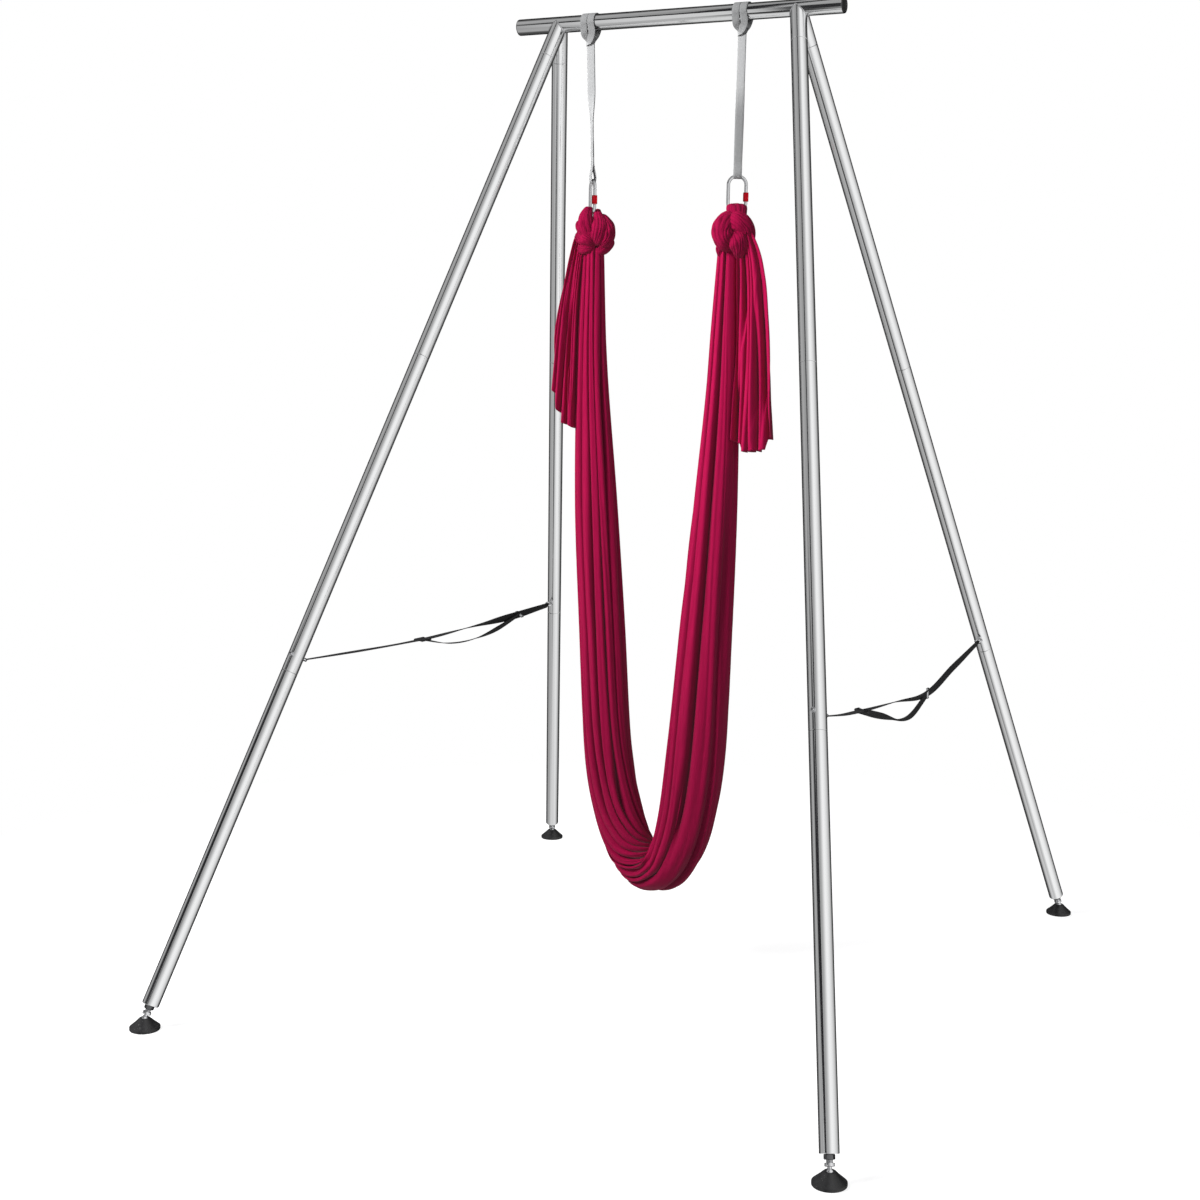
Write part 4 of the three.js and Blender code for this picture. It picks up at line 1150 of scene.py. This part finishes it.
def make_band():
    rows, columns = 330, 460
    u = np.linspace(0, 1, rows)
    S, U = np.meshgrid(np.linspace(0, 1, columns), u)
    across, height, width, depth = spline(np.linspace(0, 1, len(BAND_SHARES)), BAND_SHARES, u).T
    aside = BAND_ASIDE * np.clip((np.abs(u - 0.5) - 0.25) / 0.2, 0, 1) ** 2
    path = np.stack([BAND_MIDDLE + across * BAND_SPREAD - aside, np.zeros(rows),
                     BAND_LOWEST + height * (KNOT_FOOT - BAND_LOWEST)], axis=1)
    outward = np.cross(Y_AXIS, tangents(path))
    phase = table(PLEAT_SHARES, S) + 0.38 * wander(S, U, 1.3, 2.0, 0.9) + 0.12 * wander(S, U, 4.1, 5.0, 2.2)
    deep = table(DEPTH_SHARES, S) * (1 + 0.65 * wander(S, U, 2.2, 3.0, 1.4))
    crease = pleat(phase, 0.55)
    fine = pleat(phase * 2.9 + 0.5 * wander(S, U, 6.3, 4.0, 1.7), 0.3)
    inset = deep * crease + 0.045 * fine * (0.5 + 0.5 * wander(S, U, 7.7, 3.0, 1.2) ** 2)
    # The far selvedge is tucked in under the near one, whose edge is rolled out a little
    tuck = 1 - 0.2 * smooth_step(np.clip((S - 0.80) / 0.2, 0, 1))
    roll = 1 + 0.03 * np.clip(1 - S / 0.03, 0, 1)
    reach = (1 - inset) * tuck * roll
    lean = 0.16 * deep * np.sin(FULL_TURN * phase) + 0.05 * wander(S, U, 9.1, 2.0, 2.6)
    angle = curve(LIP_SHARES, u)[:, None] + BAND_WRAP * S + lean
    out = -np.cos(angle) * reach * (width * BAND_HALF_WIDTH)[:, None]
    y = -np.sin(angle) * reach * (depth * BAND_HALF_DEPTH)[:, None]
    rings = path[:, None] + outward[:, None] * out[..., None] + np.array(Y_AXIS) * y[..., None]
    length = lengths_along(path)[-1]
    # Painted shade in the creases, stronger where the folds are deep
    shade = crease * np.clip(deep / 0.4, 0, 1)
    # More painted shade that grows towards the bottom of the band
    lowest, highest = BAND_SHADE_HEIGHTS
    low_shade = np.clip((highest - path[:, 2]) / (highest - lowest), 0, 1)[:, None]
    shade = shade + LOW_SHADE_STRENGTH * low_shade * (1 - shade)
    return cloth_sheet("band", rings, shade, S, U, CLOTH_WIDTH, length), length


def steady_widths(along, near):
    """Each ring's width way. Where the bundle runs at the camera it keeps its way, and it never turns
    over."""
    across = np.cross(along, near)
    for i in range(1, len(along)):
        if np.linalg.norm(across[i]) < 0.45:
            across[i] = across[i - 1] - along[i] * (across[i - 1] @ along[i])
        elif across[i] @ across[i - 1] < 0:
            across[i] = -across[i]
        across[i] /= np.linalg.norm(across[i])
    return unit(across)


def bundle(hanger, strand, folds, seed, uneven):
    """A gathered rope of cloth, and the painted shade of its creases. A strand's points are (right, up, near)
    from the carabiner's foot as the camera sees them, with the half-width and the half-thickness there."""
    count, columns = 64, 120
    right = Vector((CAMERA_RIGHT.x, CAMERA_RIGHT.y, 0)).normalized()
    near = right.cross(Z_AXIS)
    path = smooth_path([hanger.foot + right * a + Z_AXIS * b + near * c for a, b, c, _, _ in strand], count)
    where = np.linspace(0, 1, count)
    sizes = spline(np.linspace(0, 1, len(strand)), [point[3:] for point in strand], where)
    ends = np.clip(np.minimum(where, 1 - where) / 0.06, 0, 1)[:, None]
    sizes = sizes * (0.25 + 0.75 * np.sqrt(ends))
    A, W = np.meshgrid(FULL_TURN * np.arange(columns) / columns, where)
    share = A / FULL_TURN
    # Squarer than an oval, so that the bundle lies flat where it is pressed, and never quite even
    square = 2.3
    flat = (np.abs(np.cos(A)) ** square + np.abs(np.sin(A)) ** square) ** (-1 / square)
    flat = flat * (1 + uneven * wander(share, W, seed + 8, 1.0, 1.3))
    phase = share * folds + 0.9 * wander(share, W, seed, 2.0, 0.6)
    crease = pleat(phase, 0.5) * (0.6 + 0.4 * wander(share, W, seed + 3, 3.0, 0.8))
    fine = pleat(share * round(folds * 2.6) + 0.8 * wander(share, W, seed + 5, 3.0, 0.9), 0.2)
    reach = flat * (1 - 0.10 * crease - 0.018 * fine)
    along = tangents(path)
    across = steady_widths(along, near)
    through = np.cross(across, along)
    rings = (path[:, None] + across[:, None] * (np.cos(A) * reach * sizes[:, :1])[..., None]
             + through[:, None] * (np.sin(A) * reach * sizes[:, 1:])[..., None])
    # Painted shade: darker in the creases and fine folds, and a little darker over the whole knot
    crease_shade = np.clip(0.10 + 0.6 * crease + 0.2 * fine, 0, 1)
    return (rings.reshape(-1, 3).tolist(), capped(count, columns)), crease_shade.ravel()


# Each knot's strands, and how many pleats each has
LEFT_KNOT = [
    # over the carabiner's foot to the left of its nose, and down in broad pleats to the crossing
    ([(-0.010, -0.060, -0.018, 0.014, 0.011), (-0.012, -0.014, -0.020, 0.016, 0.008),
      (-0.008, 0.003, -0.006, 0.012, 0.009), (-0.011, 0.003, 0.010, 0.014, 0.011),
      (-0.018, -0.016, 0.022, 0.022, 0.016), (-0.017, -0.046, 0.029, 0.024, 0.018),
      (-0.004, -0.080, 0.027, 0.017, 0.013), (0.006, -0.102, 0.018, 0.007, 0.007)], 13),
    # to the right of the nose, bulging over the crossing
    ([(0.012, -0.050, -0.018, 0.012, 0.010), (0.016, -0.014, -0.018, 0.012, 0.008),
      (0.015, 0.000, -0.005, 0.011, 0.008), (0.017, -0.008, 0.012, 0.014, 0.011),
      (0.022, -0.028, 0.022, 0.024, 0.016), (0.023, -0.054, 0.031, 0.029, 0.020),
      (0.017, -0.082, 0.031, 0.024, 0.018), (0.009, -0.104, 0.020, 0.010, 0.009)], 16),
    # the shaded lobe on the right
    ([(0.024, -0.014, 0.0, 0.012, 0.012), (0.036, -0.028, 0.010, 0.020, 0.020),
      (0.045, -0.047, 0.015, 0.024, 0.028), (0.047, -0.068, 0.016, 0.026, 0.030),
      (0.040, -0.090, 0.019, 0.024, 0.026), (0.020, -0.108, 0.018, 0.011, 0.012)], 17),
    # the roll below it, its pleats running down to the left
    ([(0.054, -0.080, -0.012, 0.014, 0.014), (0.050, -0.096, 0.004, 0.018, 0.018),
      (0.040, -0.109, 0.013, 0.020, 0.020), (0.025, -0.120, 0.018, 0.016, 0.016),
      (0.008, -0.126, 0.016, 0.009, 0.010)], 12),
    # the rolls on the left, which wrap round from behind and dive to the crossing
    ([(-0.030, -0.036, -0.010, 0.017, 0.014), (-0.030, -0.046, 0.014, 0.020, 0.015),
      (-0.020, -0.058, 0.029, 0.021, 0.014), (-0.006, -0.070, 0.033, 0.018, 0.011),
      (0.008, -0.090, 0.026, 0.011, 0.007)], 12),
    ([(-0.032, -0.072, -0.008, 0.018, 0.014), (-0.029, -0.079, 0.017, 0.022, 0.016),
      (-0.018, -0.086, 0.031, 0.022, 0.015), (-0.004, -0.092, 0.032, 0.018, 0.012),
      (0.008, -0.100, 0.025, 0.010, 0.007)], 12),
    ([(-0.030, -0.108, -0.006, 0.013, 0.011), (-0.026, -0.113, 0.015, 0.018, 0.014),
      (-0.014, -0.113, 0.026, 0.018, 0.013), (0.0, -0.109, 0.027, 0.013, 0.010),
      (0.010, -0.104, 0.021, 0.007, 0.006)], 11),
    # the back of the knot
    ([(-0.014, -0.030, -0.030, 0.022, 0.016), (0.0, -0.060, -0.034, 0.036, 0.022),
      (0.010, -0.100, -0.030, 0.036, 0.022), (0.002, -0.130, -0.012, 0.024, 0.020)], 14),
]
RIGHT_KNOT = [
    # the gathered collar round the carabiner's foot
    ([(0.0, -0.062, -0.014, 0.018, 0.010), (0.0, -0.024, -0.018, 0.025, 0.009),
      (0.0, 0.0, -0.012, 0.029, 0.010), (0.0, 0.002, 0.008, 0.031, 0.012),
      (0.0, -0.016, 0.021, 0.030, 0.013), (0.0, -0.046, 0.024, 0.028, 0.014)], 17),
    # the left lobe, its pleats fanning down from the collar and in under the centre
    ([(0.004, -0.022, 0.016, 0.012, 0.012), (-0.020, -0.034, 0.020, 0.026, 0.020),
      (-0.036, -0.054, 0.024, 0.033, 0.026), (-0.040, -0.078, 0.026, 0.034, 0.028),
      (-0.030, -0.100, 0.024, 0.028, 0.024), (-0.006, -0.112, 0.016, 0.013, 0.012)], 19),
    # the broad cap from the collar over to the right shoulder
    ([(-0.022, -0.024, 0.020, 0.016, 0.010), (-0.006, -0.034, 0.031, 0.029, 0.016),
      (0.010, -0.046, 0.036, 0.030, 0.018), (0.026, -0.062, 0.031, 0.027, 0.019),
      (0.034, -0.088, 0.018, 0.022, 0.019), (0.037, -0.118, 0.004, 0.014, 0.014)], 19),
    # the centre lobe below the crossing, tapering to a point
    ([(-0.014, -0.066, 0.026, 0.010, 0.006), (-0.003, -0.080, 0.037, 0.024, 0.012),
      (0.006, -0.100, 0.041, 0.028, 0.018), (0.010, -0.122, 0.035, 0.021, 0.017),
      (0.010, -0.148, 0.016, 0.007, 0.008)], 15),
    # a small lobe at the lower left
    ([(-0.034, -0.102, 0.010, 0.010, 0.010), (-0.044, -0.114, 0.006, 0.013, 0.012),
      (-0.044, -0.130, 0.002, 0.012, 0.011), (-0.036, -0.142, -0.002, 0.007, 0.007)], 9),
    # the back of the knot
    ([(0.0, -0.030, -0.030, 0.022, 0.016), (-0.008, -0.060, -0.034, 0.036, 0.022),
      (-0.004, -0.100, -0.030, 0.036, 0.022), (0.004, -0.130, -0.012, 0.024, 0.020)], 14),
]


def make_knot(hanger, strands):
    parts, crease_shade = zip(*(bundle(hanger, strand, folds, seed + 2.0, 0.08 if seed else 0.02)
                           for seed, (strand, folds) in enumerate(strands)))
    part = together(*parts)
    uvs = np.array([(x, z) for x, _, z in part[0]])
    return cloth_piece(f"knot_{hanger.side}", part, np.concatenate(crease_shade), uvs)


# A tail hangs beside its knot. Its edges are metres outwards from the carabiner, down the tail, and
# its hem is a height from the inner edge to the outer one.
TAIL_TOP = 2.30
TAILS = {
    "left": {
        "outer": [(0, 0.034), (0.05, 0.047), (0.18, 0.066), (0.34, 0.082), (0.55, 0.099), (1, 0.126)],
        "inner": [(0, 0.010), (0.2, 0.026), (1, 0.040)],
        "hem": [(0, 1.680), (0.19, 1.685), (0.50, 1.694), (0.54, 1.722), (0.68, 1.736), (0.72, 1.784),
                (1, 1.805)],
        "near": -0.006, "folds": 4.6, "seed": 3.0},
    "right": {
        "outer": [(0, 0.036), (0.06, 0.062), (0.14, 0.086), (0.25, 0.104), (0.45, 0.120), (1, 0.146)],
        "inner": [(0, 0.008), (0.2, 0.014), (1, 0.012)],
        "hem": [(0, 1.662), (0.17, 1.653), (0.25, 1.650), (0.29, 1.628), (0.66, 1.632), (0.84, 1.636),
                (0.88, 1.668), (1, 1.674)],
        "near": -0.012, "folds": 5.2, "seed": 8.0},
}
TAIL_DEPTHS = [(0, 0.010), (0.1, 0.016), (0.4, 0.024), (1, 0.032)]


def make_tail(hanger):
    plan = TAILS[hanger.side]
    folds, seed = plan["folds"], plan["seed"]
    rows, columns = 130, 320
    v = np.linspace(0, 1, rows)
    S, V = np.meshgrid(np.linspace(0, 1, columns), v)
    outer, inner = curve(plan["outer"], v)[:, None], curve(plan["inner"], v)[:, None]
    phase = folds * S + 0.42 * wander(S, V, seed, 1.3, 0.35) + 0.12 * V * wander(S, V, seed + 2, 2.6, 0.8)
    crease = pleat(phase, 0.45)
    size = 1 + 0.5 * wander(S, V, seed + 4, 1.4, 0.4)
    place = S + 0.26 / folds * np.sin(FULL_TURN * phase) * size
    fine = pleat(phase * 3.3 + 0.6 * wander(S, V, seed + 6, 2.2, 0.6), 0.2)
    depth = table(TAIL_DEPTHS, V) * size * (1 - 2 * crease ** 0.8) * 0.9
    hem = table(plan["hem"], np.clip(place, 0, 1)) + 0.003 * np.cos(FULL_TURN * phase)
    x = hanger.pivot.x - hanger.inward * (inner + (outer - inner) * np.clip(place, -0.02, 1.02))
    rings = np.stack([x, plan["near"] - depth + 0.0016 * fine, TAIL_TOP - (TAIL_TOP - hem) * V], axis=-1)
    length = TAIL_TOP - min(height for _, height in plan["hem"])
    # Painted shade, darker in the creases, goes into the cloth's crease attribute
    # The streaks across a tail run at the whole cloth's scale
    piece = cloth_sheet(f"tail_{hanger.side}", rings, crease ** 1.5 * 0.7, S, V, CLOTH_WIDTH, length)
    return piece, length


band_piece, band_length = make_band()
knot_pieces = [make_knot(hangers["left"], LEFT_KNOT), make_knot(hangers["right"], RIGHT_KNOT)]
tail_pieces = [make_tail(hanger) for hanger in hangers.values()]
thicken(band_piece)
for knot_piece, (tail_piece, tail_length) in zip(knot_pieces, tail_pieces):
    thicken(tail_piece)

bpy.context.view_layer.update()
